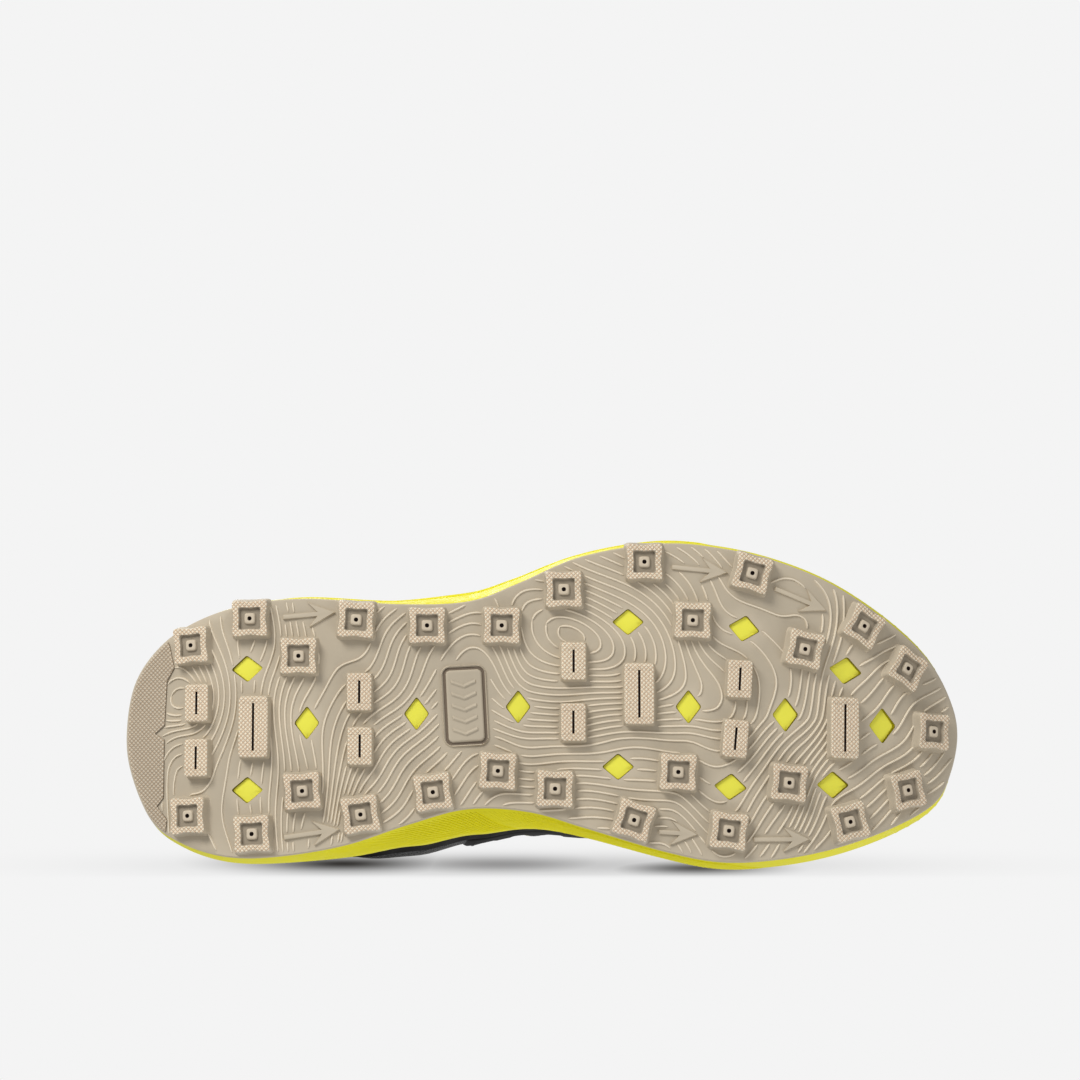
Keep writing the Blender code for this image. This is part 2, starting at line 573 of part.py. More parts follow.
def build_lace():
    """One lace: tail, loop, knot, down one side, across the bottom bar, up the other, knot, loop, tail."""
    halves = []
    for side in (-1, 1):
        pts, end = strand(side)
        level = 0.0 if side < 0 else 3.4
        c, n, e = eyelet_frame(end, 5)
        knot = tongue_point(4.28, 0.0, -4.2)
        fwd = tongue_point(4.0, 0.0, -4.2) - knot
        fwd /= np.linalg.norm(fwd)
        up = tongue_point(4.28, 0.0, -5.2) - knot
        ypos = lambda y, f, w: knot + np.array([0, y, 0]) + fwd * f + up * w
        o = -end
        pts += [ypos(end * 7, -1.5, level * 0.5 - 0.5), ypos(0, -1.2, level), ypos(o * 6, -1, level * 0.5 + 3.0)]
        # bow loop out over the opposite side and back
        pts += [
            over(o, 0.476, 0.90, 9.5), over(o, 0.480, 0.72, 7.5), over(o, 0.490, 0.56, 5.6),
            over(o, 0.512, 0.50, 5.0), over(o, 0.530, 0.58, 5.4), over(o, 0.524, 0.74, 7.2), over(o, 0.504, 0.92, 9.5),
        ]
        pts += [ypos(o * 5, 3.2, level * 0.5 + 3.5), ypos(0, 3.4, level + 0.2), ypos(-o * 5, 5.4, level * 0.5 + 3.2)]
        p = -o
        pts += [over(p, 0.532, 0.92, 9.6), over(p, 0.556, 0.78, 8.4), over(p, 0.582, 0.64, 5.6), over(p, 0.600, 0.54, 4.6), over(p, 0.612, 0.47, 4.4)]
        halves.append(pts)
    path = spline(halves[0][::-1] + halves[1], 4.2)
    tube("lace", path, LACE_R, 6)
    for name, end, before in (("aglet_medial", path[0], path[1]), ("aglet_lateral", path[-1], path[-2])):
        d = (end - before) / np.linalg.norm(end - before)
        tube(name, [end + d * 0.3, end + d * 9], 1.6, 10)


def build_pull_tab():
    base = skin(np.array(0.0), np.array(0.80)) + np.array([-0.6, 0, 0])
    lean = skin(np.array(0.0), np.array(0.98)) - skin(np.array(0.0), np.array(0.80))
    lean /= np.linalg.norm(lean)
    back = np.array([-lean[2], 0, lean[0]])
    if back[0] > 0:
        back = -back
    loop_out = [(0, 0), (0.4, 8), (0.4, 23), (1.6, 27.4), (4.8, 29), (8, 27.4), (9, 23), (8, 11), (4.2, 2), (3.2, 0)]
    loop_in = [(1.4, 4.4), (1.9, 9), (1.9, 23), (2.7, 26), (4.8, 27.4), (6.9, 26), (7.5, 22.6), (6.5, 12), (3.0, 5.4), (2.2, 4)]
    half = 7.5
    pts = []
    for y in (-half, half):
        for lo in (loop_out, loop_in):
            pts += [base + back * b + lean * h + np.array([0, y, 0]) for b, h in lo]
    n = len(loop_out)
    faces = []
    for i in range(n):
        j = (i + 1) % n
        faces += [(i, j, n + j, n + i), (2 * n + i, 3 * n + i, 3 * n + j, 2 * n + j), (i, 2 * n + i, 2 * n + j, j), (n + i, n + j, 3 * n + j, 3 * n + i)]
    piece("heel_pull_tab", pts, faces)


# ---- assembly -----------------------------------------------------------------
def build_upper():
    full, none = flat(1.0), flat(-1.0)
    vault("vamp_mesh", 20.03, -1.0, 0.0, MESH)
    edge = smooth((0, 1), (30, 1))
    lat = patch("quarter_lateral", 0, 19.97, none, edge, flat(0), flat(MESH), (ROWS + 1) / 2)
    med = patch("quarter_medial", 40.03, 60, none, edge, flat(0), flat(MESH), (ROWS + 1) / 2)
    out, inn = flat(-LAP - FILM), flat(-LAP)
    lo = flat(0.035)
    patch("toe_bumper", 26, 34, lo, smooth((26, 0.30), (28, 0.46), (30, 0.62)), out, inn, 5)
    rand_top = smooth((4, 0.2), (8, 0.17), (12, 0.14), (16, 0.16), (20, 0.24), (26, 0.30))
    patch("rand_lateral", 4.2, 25.9, lo, rand_top, out, inn, 3)
    patch("rand_medial", 34.1, 55.8, lo, rand_top, out, inn, 3)
    patch("heel_overlay", -4, 4, lo, smooth((0, 0.72), (4, 0.44)), out, inn, 6)
    stay_low = smooth((13, 0.76), (16, 0.74), (19.9, 0.7))
    es = patch("eyestay_lateral", 13, 19.85, stay_low, flat(0.995), out, inn, 4)
    em = patch("eyestay_medial", 40.15, 47, stay_low, flat(0.995), out, inn, 4)
    for a, b, tag in ((13.2, 17.4, "lateral"), (42.6, 46.8, "medial")):
        patch(f"side_band_{tag}", a, b, smooth((12, 0.17), (16, 0.18), (20, 0.27)), smooth((13, 0.735), (16, 0.715), (20, 0.675)), out, inn, 5)
    for side, parts in ((-1, (es, lat)), (1, (em, med))):
        for p in parts:
            boolean(p, [hole_cutters(side, 0)], "DIFFERENCE")
        for k in range(len(EYELETS)):
            build_eyelet(side, k)
    patch("toe_puff", 25, 35, flat(-0.5), smooth((25, 0.25), (30, 0.85)), flat(1.8), flat(2.7), 9)
    patch("heel_counter", -9, 9, flat(-0.6), smooth((0, 0.5), (6, 0.4), (9, 0.15)), flat(1.8), flat(3.0), 9)
    vault("vamp_lining", 20.4, -0.5, 3.6, 4.2)
    brim = smooth((0, 0.97), (11, 0.97), (13.4, 0.74))
    pad = smooth((0, 0.55), (3, 0.9), (6, 1), (9, 0.8), (12, 0.25), (13, 0.02))
    swell = lambda share: np.clip(np.sin(np.pi * np.clip(share, 0, 1)), 0, 1) ** 0.7
    patch("collar_foam", -12, 12, smooth((0, 0.54), (6, 0.46), (9, 0.5), (13, 0.66)), brim, flat(1.9), lambda k, s: 2.5 + FOAM * pad(k) * swell(s), 9)
    rise = smooth((0, 0.54), (6, 0.46), (9, 0.5), (13, 0.66))

    def inner_face(k, s):
        v = -0.5 + (brim(k) + 0.5) * s
        share = (v - rise(k)) / (brim(k) - rise(k))
        foam = 2.5 + FOAM * pad(k) * swell(np.clip(share, 0, 1))
        return np.maximum(np.where(v > rise(k), foam, 0), 3.0) + 0.7

    patch("collar_lining", -13.4, 13.4, flat(-0.5), brim, inner_face, lambda k, s: inner_face(k, s) + 0.7, 18)


def main():
    for obj in list(bpy.data.objects):
        bpy.data.objects.remove(obj)
    build_outsole()
    build_midsole()
    board("strobel_board", MESH + BOND, 0.4, 1.6)
    board("insole_foam", 5.2, 2.0, 6.0)
    board("insole_cloth", 5.2, 6.3, 7.0)
    build_upper()
    tongue("tongue_lower", 0, HINGE_Q - 0.04, 12)
    tongue("tongue_upper", HINGE_Q + 0.04, 8, 7)
    build_patch()
    build_lace()
    build_pull_tab()


main()
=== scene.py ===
"""Trail running shoe, right foot: the visual model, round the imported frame.

Shapes are worked out in millimetres in the part's drawing coordinates and become metres in the row frame when a
mesh is made.
"""

import json
import math

import bmesh
import bpy
import numpy as np
from mathutils import Matrix, Vector
from mathutils.geometry import delaunay_2d_cdt
from mathutils.kdtree import KDTree

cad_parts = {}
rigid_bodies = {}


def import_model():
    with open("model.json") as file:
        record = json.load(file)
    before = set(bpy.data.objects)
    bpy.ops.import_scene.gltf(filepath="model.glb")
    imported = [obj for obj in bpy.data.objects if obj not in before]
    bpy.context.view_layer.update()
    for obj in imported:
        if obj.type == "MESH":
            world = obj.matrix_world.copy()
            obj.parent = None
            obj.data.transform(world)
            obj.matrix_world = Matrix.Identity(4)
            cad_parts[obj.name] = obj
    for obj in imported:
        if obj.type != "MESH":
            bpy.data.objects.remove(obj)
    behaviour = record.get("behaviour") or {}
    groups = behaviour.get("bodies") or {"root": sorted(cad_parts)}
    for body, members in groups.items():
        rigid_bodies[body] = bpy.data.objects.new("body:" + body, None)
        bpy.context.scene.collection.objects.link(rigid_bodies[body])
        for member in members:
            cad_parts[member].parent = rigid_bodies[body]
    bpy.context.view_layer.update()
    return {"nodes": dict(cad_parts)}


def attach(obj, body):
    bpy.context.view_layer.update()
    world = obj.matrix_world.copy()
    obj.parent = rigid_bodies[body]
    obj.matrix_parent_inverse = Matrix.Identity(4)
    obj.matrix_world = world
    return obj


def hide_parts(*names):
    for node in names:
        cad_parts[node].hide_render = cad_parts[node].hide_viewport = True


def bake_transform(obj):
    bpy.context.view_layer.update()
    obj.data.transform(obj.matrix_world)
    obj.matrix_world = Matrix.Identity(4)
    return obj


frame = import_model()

RNG = np.random.default_rng(7)

# ---- the part's driving dimensions ----------------------------------------
MM = 0.001
LUG, SHEET, BOND, LIP, MESH = 4.0, 2.0, 0.3, 3.0, 1.2
STATIONS = 30
LACE_R = 1.6
EYELET_HOLE, EYELET_RIM, EYELET_V = 2.6, 4.2, 0.86
EYELETS = [0.604, 0.576, 0.548, 0.520, 0.491, 0.462]
ORIGIN = np.array([-0.64, -1.70, -0.107])
HINGE_Q = 5.12


def smooth(*pairs):
    """A curve through (x, y) pairs that never overshoots them."""
    xs, ys = np.array(pairs, float).T
    d = np.diff(ys) / np.diff(xs)
    m = np.concatenate([[d[0]], (d[1:] + d[:-1]) / 2, [d[-1]]])
    flat = np.sign(d[1:]) != np.sign(d[:-1])
    m[1:-1][flat] = 0
    lim = 3 * np.minimum(np.abs(np.append(d, d[-1])), np.abs(np.insert(d, 0, d[0])))
    m = np.sign(m) * np.minimum(np.abs(m), lim)

    def at(x):
        x = np.clip(np.asarray(x, float), xs[0], xs[-1])
        i = np.clip(np.searchsorted(xs, x, side="right") - 1, 0, len(xs) - 2)
        h = xs[i + 1] - xs[i]
        u = (x - xs[i]) / h
        return (
            ys[i] * (1 + 2 * u) * (1 - u) ** 2
            + ys[i + 1] * u * u * (3 - 2 * u)
            + m[i] * h * u * (1 - u) ** 2
            - m[i + 1] * h * u * u * (1 - u)
        )

    return at


OUTLINE = np.array([
    (-150, 7), (-147, -10), (-138, -23), (-125, -31.5), (-107, -37), (-85, -39),
    (-52, -37), (-27, -38), (-9, -44.5), (13, -54), (41, -59), (64, -57.5),
    (86, -52.5), (107, -44), (128, -30), (141, -17), (148, -3), (150, 9),
    (147.5, 22.5), (142, 33.5), (128, 42.5), (107, 50.5), (85, 55), (64, 56),
    (43, 52), (16, 44), (-5, 38), (-27, 37), (-48, 42.5), (-71, 50), (-95, 54),
    (-114, 54), (-130, 49), (-141, 40.5), (-148.5, 22.5),
], float)  # fmt: skip


def closed_curve(points, per=40):
    out = []
    n = len(points)
    u = np.linspace(0, 1, per, endpoint=False)[:, None]
    for i in range(n):
        p0, p1, p2, p3 = (points[(i + k) % n] for k in (-1, 0, 1, 2))
        out.append(0.5 * (2 * p1 + (p2 - p0) * u + (2 * p0 - 5 * p1 + 4 * p2 - p3) * u**2 + (3 * p1 - p0 - 3 * p2 + p3) * u**3))
    return np.concatenate(out)


# the sole's ends turn up, away from its middle, and reach a little further than their plan
OUTLINE[:, 0] += 2.6 * np.clip((OUTLINE[:, 0] - 105) / 45, 0, 1) ** 2 - 1.6 * np.clip((-115 - OUTLINE[:, 0]) / 35, 0, 1) ** 2
DENSE = closed_curve(OUTLINE)
HEEL_I, TOE_I = DENSE[:, 0].argmin(), DENSE[:, 0].argmax()
DENSE = np.roll(DENSE, -HEEL_I, axis=0)
TOE_I = (TOE_I - HEEL_I) % len(DENSE)
SIDE_XY = {-1: DENSE[: TOE_I + 1], 1: np.concatenate([DENSE[TOE_I:], DENSE[:1]])[::-1]}


def outline(a):
    """Outline point and outward normal at a: 0 heel, 1 toe along the lateral side, 2 heel again."""
    a = np.mod(np.asarray(a, float), 2)
    lateral = a <= 1
    t = np.where(lateral, a, 2 - a)
    x0, x1 = DENSE[0, 0], DENSE[TOE_I, 0]
    want = x0 + (x1 - x0) * (1 - np.cos(np.pi * t)) / 2
    point = np.empty(a.shape + (2,))
    normal = np.empty(a.shape + (2,))
    for s, mask in ((-1, lateral), (1, ~lateral)):
        xy = SIDE_XY[s]
        run = np.concatenate([[0], np.cumsum(np.hypot(*np.diff(xy, axis=0).T))])
        at = np.interp(want[mask], np.maximum.accumulate(xy[:, 0]) + run * 1e-7, run)
        for k in (0, 1):
            point[mask, k] = np.interp(at, run, xy[:, k])
        ahead, back = np.minimum(at + 2, run[-1]), np.maximum(at - 2, 0)
        d = np.stack([np.interp(ahead, run, xy[:, k]) - np.interp(back, run, xy[:, k]) for k in (0, 1)], -1)
        d /= np.linalg.norm(d, axis=-1, keepdims=True)
        normal[mask] = np.stack([-s * d[..., 1], s * d[..., 0]], -1)
    tip = np.clip(1 - np.minimum(t, 1 - t) / 0.03, 0, 1)[..., None]
    ahead = np.stack([np.where(t > 0.5, 1.0, -1.0), 0 * t], -1)
    normal = normal * (1 - tip) + ahead * tip
    normal /= np.linalg.norm(normal, axis=-1, keepdims=True)
    return point, normal


def rocker(x):
    x = np.asarray(x, float)
    return 26 * np.clip((x - 45) / 105, 0, None) ** 2.5 + 16 * np.clip((-80 - x) / 70, 0, None) ** 2.2


def slope(x):
    return (rocker(x + 0.05) - rocker(x - 0.05)) / 0.1


FLARE_LATERAL = smooth((-150, 0.5), (-125, 1.8), (-85, 2), (-55, 2.6), (-30, 4.6), (-8, 3.4), (15, 2.2), (110, 2.2), (140, 1.6), (150, 0.6))
FLARE_MEDIAL = smooth((-150, 0.5), (-130, 1.2), (-100, 1.6), (-85, 2.3), (-71, 3.6), (-56, 5.5), (-42, 8), (-23, 8.4), (-5, 5.4), (9, 3.3), (24, 2.3), (45, 1.8), (110, 2.2), (137, 1.8), (150, 0.6))
WALL_TOP = smooth((-150, 47), (-130, 43), (-100, 40.5), (-60, 39), (-20, 35.5), (20, 31), (60, 30), (90, 32.5), (120, 38), (140, 43), (150, 46))
FOOTBED = smooth((-150, 36.5), (-140, 36), (-110, 33.5), (-60, 32), (-20, 29), (20, 25.5), (60, 24.5), (90, 27.5), (120, 33), (146, 40))
ARCH_RISE = smooth((-75, 0), (-30, 3.5), (15, 0))


def flare(a, x):
    return np.where(np.mod(a, 2) <= 1, FLARE_LATERAL(x), FLARE_MEDIAL(x))


def wall_top(a, x):
    return WALL_TOP(x) + np.where(np.mod(a, 2) > 1, ARCH_RISE(x), 0)


TOP_X = smooth((0, -142), (2, -139), (4, -129), (6, -114), (8, -97), (10, -79), (12, -60), (13, -47), (14, -33), (16, -5), (18, 22), (19, 34), (20, 43), (22, 62), (24, 82), (26, 101), (28, 115), (30, 125))
TOP_HALF = smooth((0, 0), (2, 9.5), (4, 20), (6, 27), (8, 30), (10, 29.5), (12, 25), (13, 19.5), (14, 17.8), (16, 15.5), (18, 13), (19, 10), (19.6, 6), (20, 0), (30, 0))
TOP_Z = smooth((0, 99), (2, 98), (4, 93), (6, 85), (8, 79), (10, 79.5), (12, 91), (13, 104.5), (14, 103), (16, 92.5), (18, 82), (19, 77.8), (20, 74.8), (22, 72.4), (24, 70), (26, 67.2), (28, 64), (30, 60.5))
CENTRE_Y = smooth((-142, 7.5), (-110, 8.5), (-80, 6), (-50, 3), (0, 1.5), (45, 1), (80, 3), (110, 6.5), (130, 9))
HANDLE_X = smooth((0, 4), (4, 2), (8, 0), (10, 0), (12, 1), (13, 2), (16, 2), (18, 3), (24, 2.9), (27, 6.5), (29, 12), (30, 14))
HANDLE_Y = smooth((0, 0), (4, 1.5), (8, 3), (10, 4), (12, 7), (13, 11), (14, 15), (16, 19), (18, 22), (20, 25), (24, 26), (27, 20), (29, 8), (30, 0))
HANDLE_Z = smooth((0, -22), (4, -20), (8, -17), (10, -18), (12, -20), (13, -16), (14, -9), (16, -6), (18, -4), (20, -0.4), (24, -0.5), (27, -1.6), (29, -3.6), (30, -4.6))
LIFT = smooth((0, 24), (6, 20), (10, 16), (13, 24), (18, 22), (22, 19), (26, 15), (28, 13), (30, 12))
BULGE = smooth((0, 6), (4, 5), (8, 2.5), (12, 2), (16, 3), (20, 4), (24, 4), (28, 2.5), (30, 2))


WAIST = smooth((-150, 0), (-100, 0), (-80, 2.5), (-62, 8.2), (-46, 9.4), (-25, 8.0), (-9, 6.2), (14, 3.6), (31, 1.8), (50, 0.6), (70, 0), (150, 0))


def skin(a, v):
    """Upper's outer face: v 0 at the midsole's rim, 1 at the top line, down to -1 at the footbed."""
    a, v = np.broadcast_arrays(np.asarray(a, float), np.asarray(v, float))
    side = np.where(np.mod(a, 2) <= 1, -1.0, 1.0)
    k = np.where(np.mod(a, 2) <= 1, np.mod(a, 2), 2 - np.mod(a, 2)) * STATIONS
    p, n = outline(a)
    x = p[..., 0]
    foot = p + n * (flare(a, x) - 2.2 - LIP - BOND)[..., None]
    z0 = wall_top(a, x)
    p0 = np.concatenate([foot, z0[..., None]], -1)
    tx = TOP_X(k)
    p3 = np.stack([tx, CENTRE_Y(tx) + side * TOP_HALF(k), TOP_Z(k)], -1)
    p1 = p0 + np.concatenate([n * BULGE(k)[..., None], LIFT(k)[..., None]], -1)
    p2 = p3 + np.stack([HANDLE_X(k), side * HANDLE_Y(k), HANDLE_Z(k)], -1)
    u = np.clip(v, 0, 1)[..., None]
    bez = p0 * (1 - u) ** 3 + 3 * p1 * u * (1 - u) ** 2 + 3 * p2 * u * u * (1 - u) + p3 * u**3
    waist = WAIST(x) * (side > 0) * np.sin(np.pi * np.clip(v / 0.62, 0, 1)) ** 1.3
    bez[..., :2] += n * waist[..., None]
    bez[..., 2] -= np.clip(-v, 0, 1) * (z0 - FOOTBED(x) - 0.4)
    return bez


def skin_normal(a, v):
    e = 2e-3
    v = np.clip(v, 0.01, 0.985)
    n = np.cross(skin(a + e, v) - skin(a - e, v), skin(a, v + e) - skin(a, v - e))
    return n / np.maximum(np.linalg.norm(n, axis=-1, keepdims=True), 1e-9)


def under(a, v, depth):
    a, v, depth = np.broadcast_arrays(np.asarray(a, float), np.asarray(v, float), np.asarray(depth, float))
    return skin(a, v) - skin_normal(a, v) * depth[..., None]


# ---- tongue and lace route ---------------------------------------------------
TONGUE_X = smooth((0, 51), (1, 40), (2, 14), (3, -8), (4, -30), (5, -47), (6, -57), (7, -64), (8, -69))
TONGUE_Z = smooth((0, 66), (1, 70), (2, 80), (3, 89), (4, 97), (5, 102.5), (6, 108.5), (7, 116), (8, 124))
TONGUE_HALF = smooth((0, 12), (1, 15), (2, 18), (4, 20), (5, 20), (6, 23), (7, 25), (7.6, 23), (8, 17))
TONGUE_THICK = smooth((0, 2.5), (1, 4.5), (4, 6), (6, 7.5), (7.5, 7), (8, 4))


def tongue_point(q, across, depth):
    q, across, depth = np.broadcast_arrays(np.asarray(q, float), np.asarray(across, float), np.asarray(depth, float))
    dx, dz = TONGUE_X(q + 0.02) - TONGUE_X(q - 0.02), TONGUE_Z(q + 0.02) - TONGUE_Z(q - 0.02)
    ln = np.hypot(dx, dz)
    nx, nz = dz / ln, -dx / ln
    y = across * TONGUE_HALF(q)
    d = depth + y * y / 72
    return np.stack([TONGUE_X(q) - nx * d, CENTRE_Y(TONGUE_X(q)) + y, TONGUE_Z(q) - nz * d], -1)


def eyelet_frame(side, k):
    t = EYELETS[k]
    a, v = np.array(t if side < 0 else 2 - t), np.array(EYELET_V)
    n = skin_normal(a, v)
    c = skin(a, v) + n * 1.8
    e = skin(a, np.array(1.0)) - skin(a, np.array(0.9))
    e -= n * e.dot(n)
    return c, n, e / np.linalg.norm(e)


def mid(p, q, lift=0.0):
    return (np.asarray(p) + np.asarray(q)) / 2 + np.array([0, 0, lift])


def strand(side):
    pts = []
    s = side
    for k in range(len(EYELETS)):
        c, n, e = eyelet_frame(s, k)
        pts += [c + e * 9.0 + n * 2.4, c + e * 5.0 + n * 3.0, c + e * 1.4 + n * 3.2, c + n * 0.2 - e * 0.2, c + e * 1.0 - n * 5.2, c + e * 5.2 - n * 6.1, c + e * 10.4 - n * 6.0]
        if k + 1 < len(EYELETS):
            c2, n2, e2 = eyelet_frame(-s, k + 1)
            pts.append(mid(c + e * 10.4 - n * 6.0, c2 + e2 * 9.0 + n2 * 2.4, 1.0 + 1.75 * side * (1 if k % 2 == 0 else -1)))
            s = -s
    return pts, s


def over(side, t, v, lift):
    a = np.array(t if side < 0 else 2 - t)
    return skin(a, np.array(v)) + skin_normal(a, np.array(v)) * lift


def spline(points, step):
    p = np.asarray(points, float)
    p = np.concatenate([[2 * p[0] - p[1]], p, [2 * p[-1] - p[-2]]])
    out = []
    for i in range(1, len(p) - 2):
        n = max(1, round(np.linalg.norm(p[i + 1] - p[i]) / step))
        u = np.linspace(0, 1, n, endpoint=False)[:, None]
        a, b, c, d = p[i - 1 : i + 3]
        out.append(0.5 * (2 * b + (c - a) * u + (2 * a - 5 * b + 4 * c - d) * u**2 + (3 * b - a - 3 * c + d) * u**3))
    return np.concatenate(out + [p[-2:-1]])


def knot_frame():
    knot = tongue_point(4.28, 0.0, -4.2)
    fwd = tongue_point(4.0, 0.0, -4.2) - knot
    up = tongue_point(4.28, 0.0, -5.2) - knot
    return knot, fwd / np.linalg.norm(fwd), up


def lace_route():
    halves = []
    knot, fwd, up = knot_frame()
    for side in (-1, 1):
        pts, end = strand(side)
        level = 0.0 if side < 0 else 3.4
        ypos = lambda y, f, w: knot + np.array([0, y, 0]) + fwd * f + up * w
        o = -end
        pts += [ypos(end * 7, -1.5, level * 0.5 - 0.5), ypos(0, -1.2, level), ypos(o * 6, -1, level * 0.5 + 3.0)]
        pts += [over(o, 0.476, 0.90, 9.5), over(o, 0.480, 0.72, 7.5), over(o, 0.490, 0.56, 5.6), over(o, 0.512, 0.50, 5.0), over(o, 0.530, 0.58, 5.4), over(o, 0.524, 0.74, 7.2), over(o, 0.504, 0.92, 9.5)]
        pts += [ypos(o * 5, 3.2, level * 0.5 + 3.5), ypos(0, 3.4, level + 0.2), ypos(-o * 5, 5.4, level * 0.5 + 3.2)]
        p = -o
        pts += [over(p, 0.532, 0.92, 9.6), over(p, 0.556, 0.78, 8.4), over(p, 0.582, 0.64, 5.6), over(p, 0.600, 0.54, 5.1), over(p, 0.612, 0.47, 5.9)]
        halves.append(pts)
    return halves[0][::-1] + halves[1]


# ---- mesh making ---------------------------------------------------------------
def mesh_object(name, pts, faces, uv=None, smooth_shade=True, sharp=None, slots=None, slot_of=None):
    """A mesh from points in mm and face index arrays of 3 or 4 columns."""
    pts = (np.asarray(pts, float).reshape(-1, 3) - ORIGIN) * MM
    groups = [np.asarray(f, np.int64) for f in faces if len(f)]
    loops = np.concatenate([g.ravel() for g in groups])
    starts, total = [], 0
    for g in groups:
        starts.append(total + np.arange(len(g)) * g.shape[1])
        total += g.size
    me = bpy.data.meshes.new(name)
    me.vertices.add(len(pts))
    me.vertices.foreach_set("co", pts.ravel())
    me.loops.add(len(loops))
    me.loops.foreach_set("vertex_index", loops.astype(np.int32))
    starts = np.concatenate(starts)
    me.polygons.add(len(starts))
    me.polygons.foreach_set("loop_start", starts.astype(np.int32))
    me.update(calc_edges=True)
    if slot_of is not None:
        me.polygons.foreach_set("material_index", np.asarray(slot_of, np.int32))
    if uv is not None:
        layer = me.uv_layers.new(name="UVMap")
        layer.uv.foreach_set("vector", (np.asarray(uv, float)[loops] * MM).ravel())
    me.validate()
    me.polygons.foreach_set("use_smooth", np.full(len(me.polygons), bool(smooth_shade)))
    if sharp:
        me.set_sharp_from_angle(angle=math.radians(sharp))
    obj = bpy.data.objects.new(name, me)
    bpy.context.scene.collection.objects.link(obj)
    for m in slots or []:
        me.materials.append(m)
    return obj


def tidy(obj, merge=0.002, recalc=True):
    """Merges points that meet, drops faces without area, and turns the faces outwards."""
    bm = bmesh.new()
    bm.from_mesh(obj.data)
    bmesh.ops.remove_doubles(bm, verts=bm.verts, dist=merge * MM)
    bmesh.ops.dissolve_degenerate(bm, edges=bm.edges, dist=1e-7)
    if recalc:
        bmesh.ops.recalc_face_normals(bm, faces=bm.faces)
    bm.to_mesh(obj.data)
    bm.free()


def grid_faces(c, r, base=0, flip=False, wrap=False):
    i, j = np.meshgrid(np.arange(c if wrap else c - 1), np.arange(r - 1), indexing="ij")
    i2 = (i + 1) % c
    q = np.stack([i * r + j, i2 * r + j, i2 * r + j + 1, i * r + j + 1], -1).reshape(-1, 4)
    return (q[:, ::-1] if flip else q) + base


def slab(name, outer, inner, folded=False, uv=None, **kw):
    """A closed solid between two grids (columns, rows, 3)."""
    c, r = outer.shape[:2]
    n = c * r
    pts = np.concatenate([outer.reshape(-1, 3), inner.reshape(-1, 3)])
    i, j = np.arange(c - 1), np.arange(r - 1)
    edge = [
        np.stack([i * r, n + i * r, n + (i + 1) * r, (i + 1) * r], -1),
        np.stack([i * r + r - 1, (i + 1) * r + r - 1, n + (i + 1) * r + r - 1, n + i * r + r - 1], -1),
        np.stack([j, j + 1, n + j + 1, n + j], -1),
    ]
    if not folded:
        b = (c - 1) * r
        edge.append(np.stack([b + j, n + b + j, n + b + j + 1, b + j + 1], -1))
    faces = [np.concatenate([grid_faces(c, r), grid_faces(c, r, n, True)] + edge)]
    if uv is not None:
        uv = np.concatenate([uv.reshape(-1, 2)] * 2)
    obj = mesh_object(name, pts, faces, uv, **kw)
    tidy(obj)
    return obj


def arc_uv(grid):
    """Lengths along the columns and the rows of a grid, in mm, measured from its first column and row."""
    c, r = grid.shape[:2]
    du = np.linalg.norm(np.diff(grid, axis=0), axis=-1)
    dv = np.linalg.norm(np.diff(grid, axis=1), axis=-1)
    u = np.concatenate([[0], np.cumsum(du.mean(axis=1))])
    v = np.concatenate([np.zeros((c, 1)), np.cumsum(dv, axis=1)], 1)
    return np.stack([np.broadcast_to(u[:, None], (c, r)), v], -1)


EDGE = np.array([0, 0.004, 0.011, 0.022, 0.04])
ROUND = np.array([0.15, 0.6, 0.84, 0.96, 1.0])


def patch(name, first, last, low, high, thick, base=0.0, rows=24, step=0.25, soft=True, puff=None, **kw):
    """A film or cloth piece of the upper, lying on the outer face, with rounded edges when soft."""
    cols = np.arange(first, last + 1e-6, step)
    span = (cols - cols[0]) / (cols[-1] - cols[0])
    share = np.linspace(0, 1, rows)
    if soft:
        share = np.concatenate([EDGE, np.linspace(0.08, 0.92, rows), 1 - EDGE[::-1]])
        ends = EDGE * 8 / max(last - first, 1)
        span = np.concatenate([ends, span[(span > ends[-1] * 1.5) & (span < 1 - ends[-1] * 1.5)], 1 - ends[::-1]])
        cols = first + span * (last - first)
        rr = np.ones(len(share)); rr[:5] = ROUND; rr[-5:] = ROUND[::-1]
        rc = np.ones(len(cols)); rc[:5] = ROUND; rc[-5:] = ROUND[::-1]
        full = np.minimum(rc[:, None], rr[None, :])
    else:
        full = np.ones((len(cols), len(share)))
    near = np.abs(np.where(cols > 30, 60 - cols, cols))[:, None]
    v = low(near) + (high(near) - low(near)) * share[None, :]
    a = np.broadcast_to(cols[:, None] / STATIONS, v.shape)
    height = base + thick * full
    if puff is not None:
        height = height + puff(np.broadcast_to(near, v.shape), np.broadcast_to(share[None, :], v.shape))
    outer = under(a, v, -height)
    return slab(name, outer, under(a, v, -base + 0.15), uv=arc_uv(outer), **kw)


def flat(value):
    return lambda k, *more: np.full(np.shape(k), float(value))


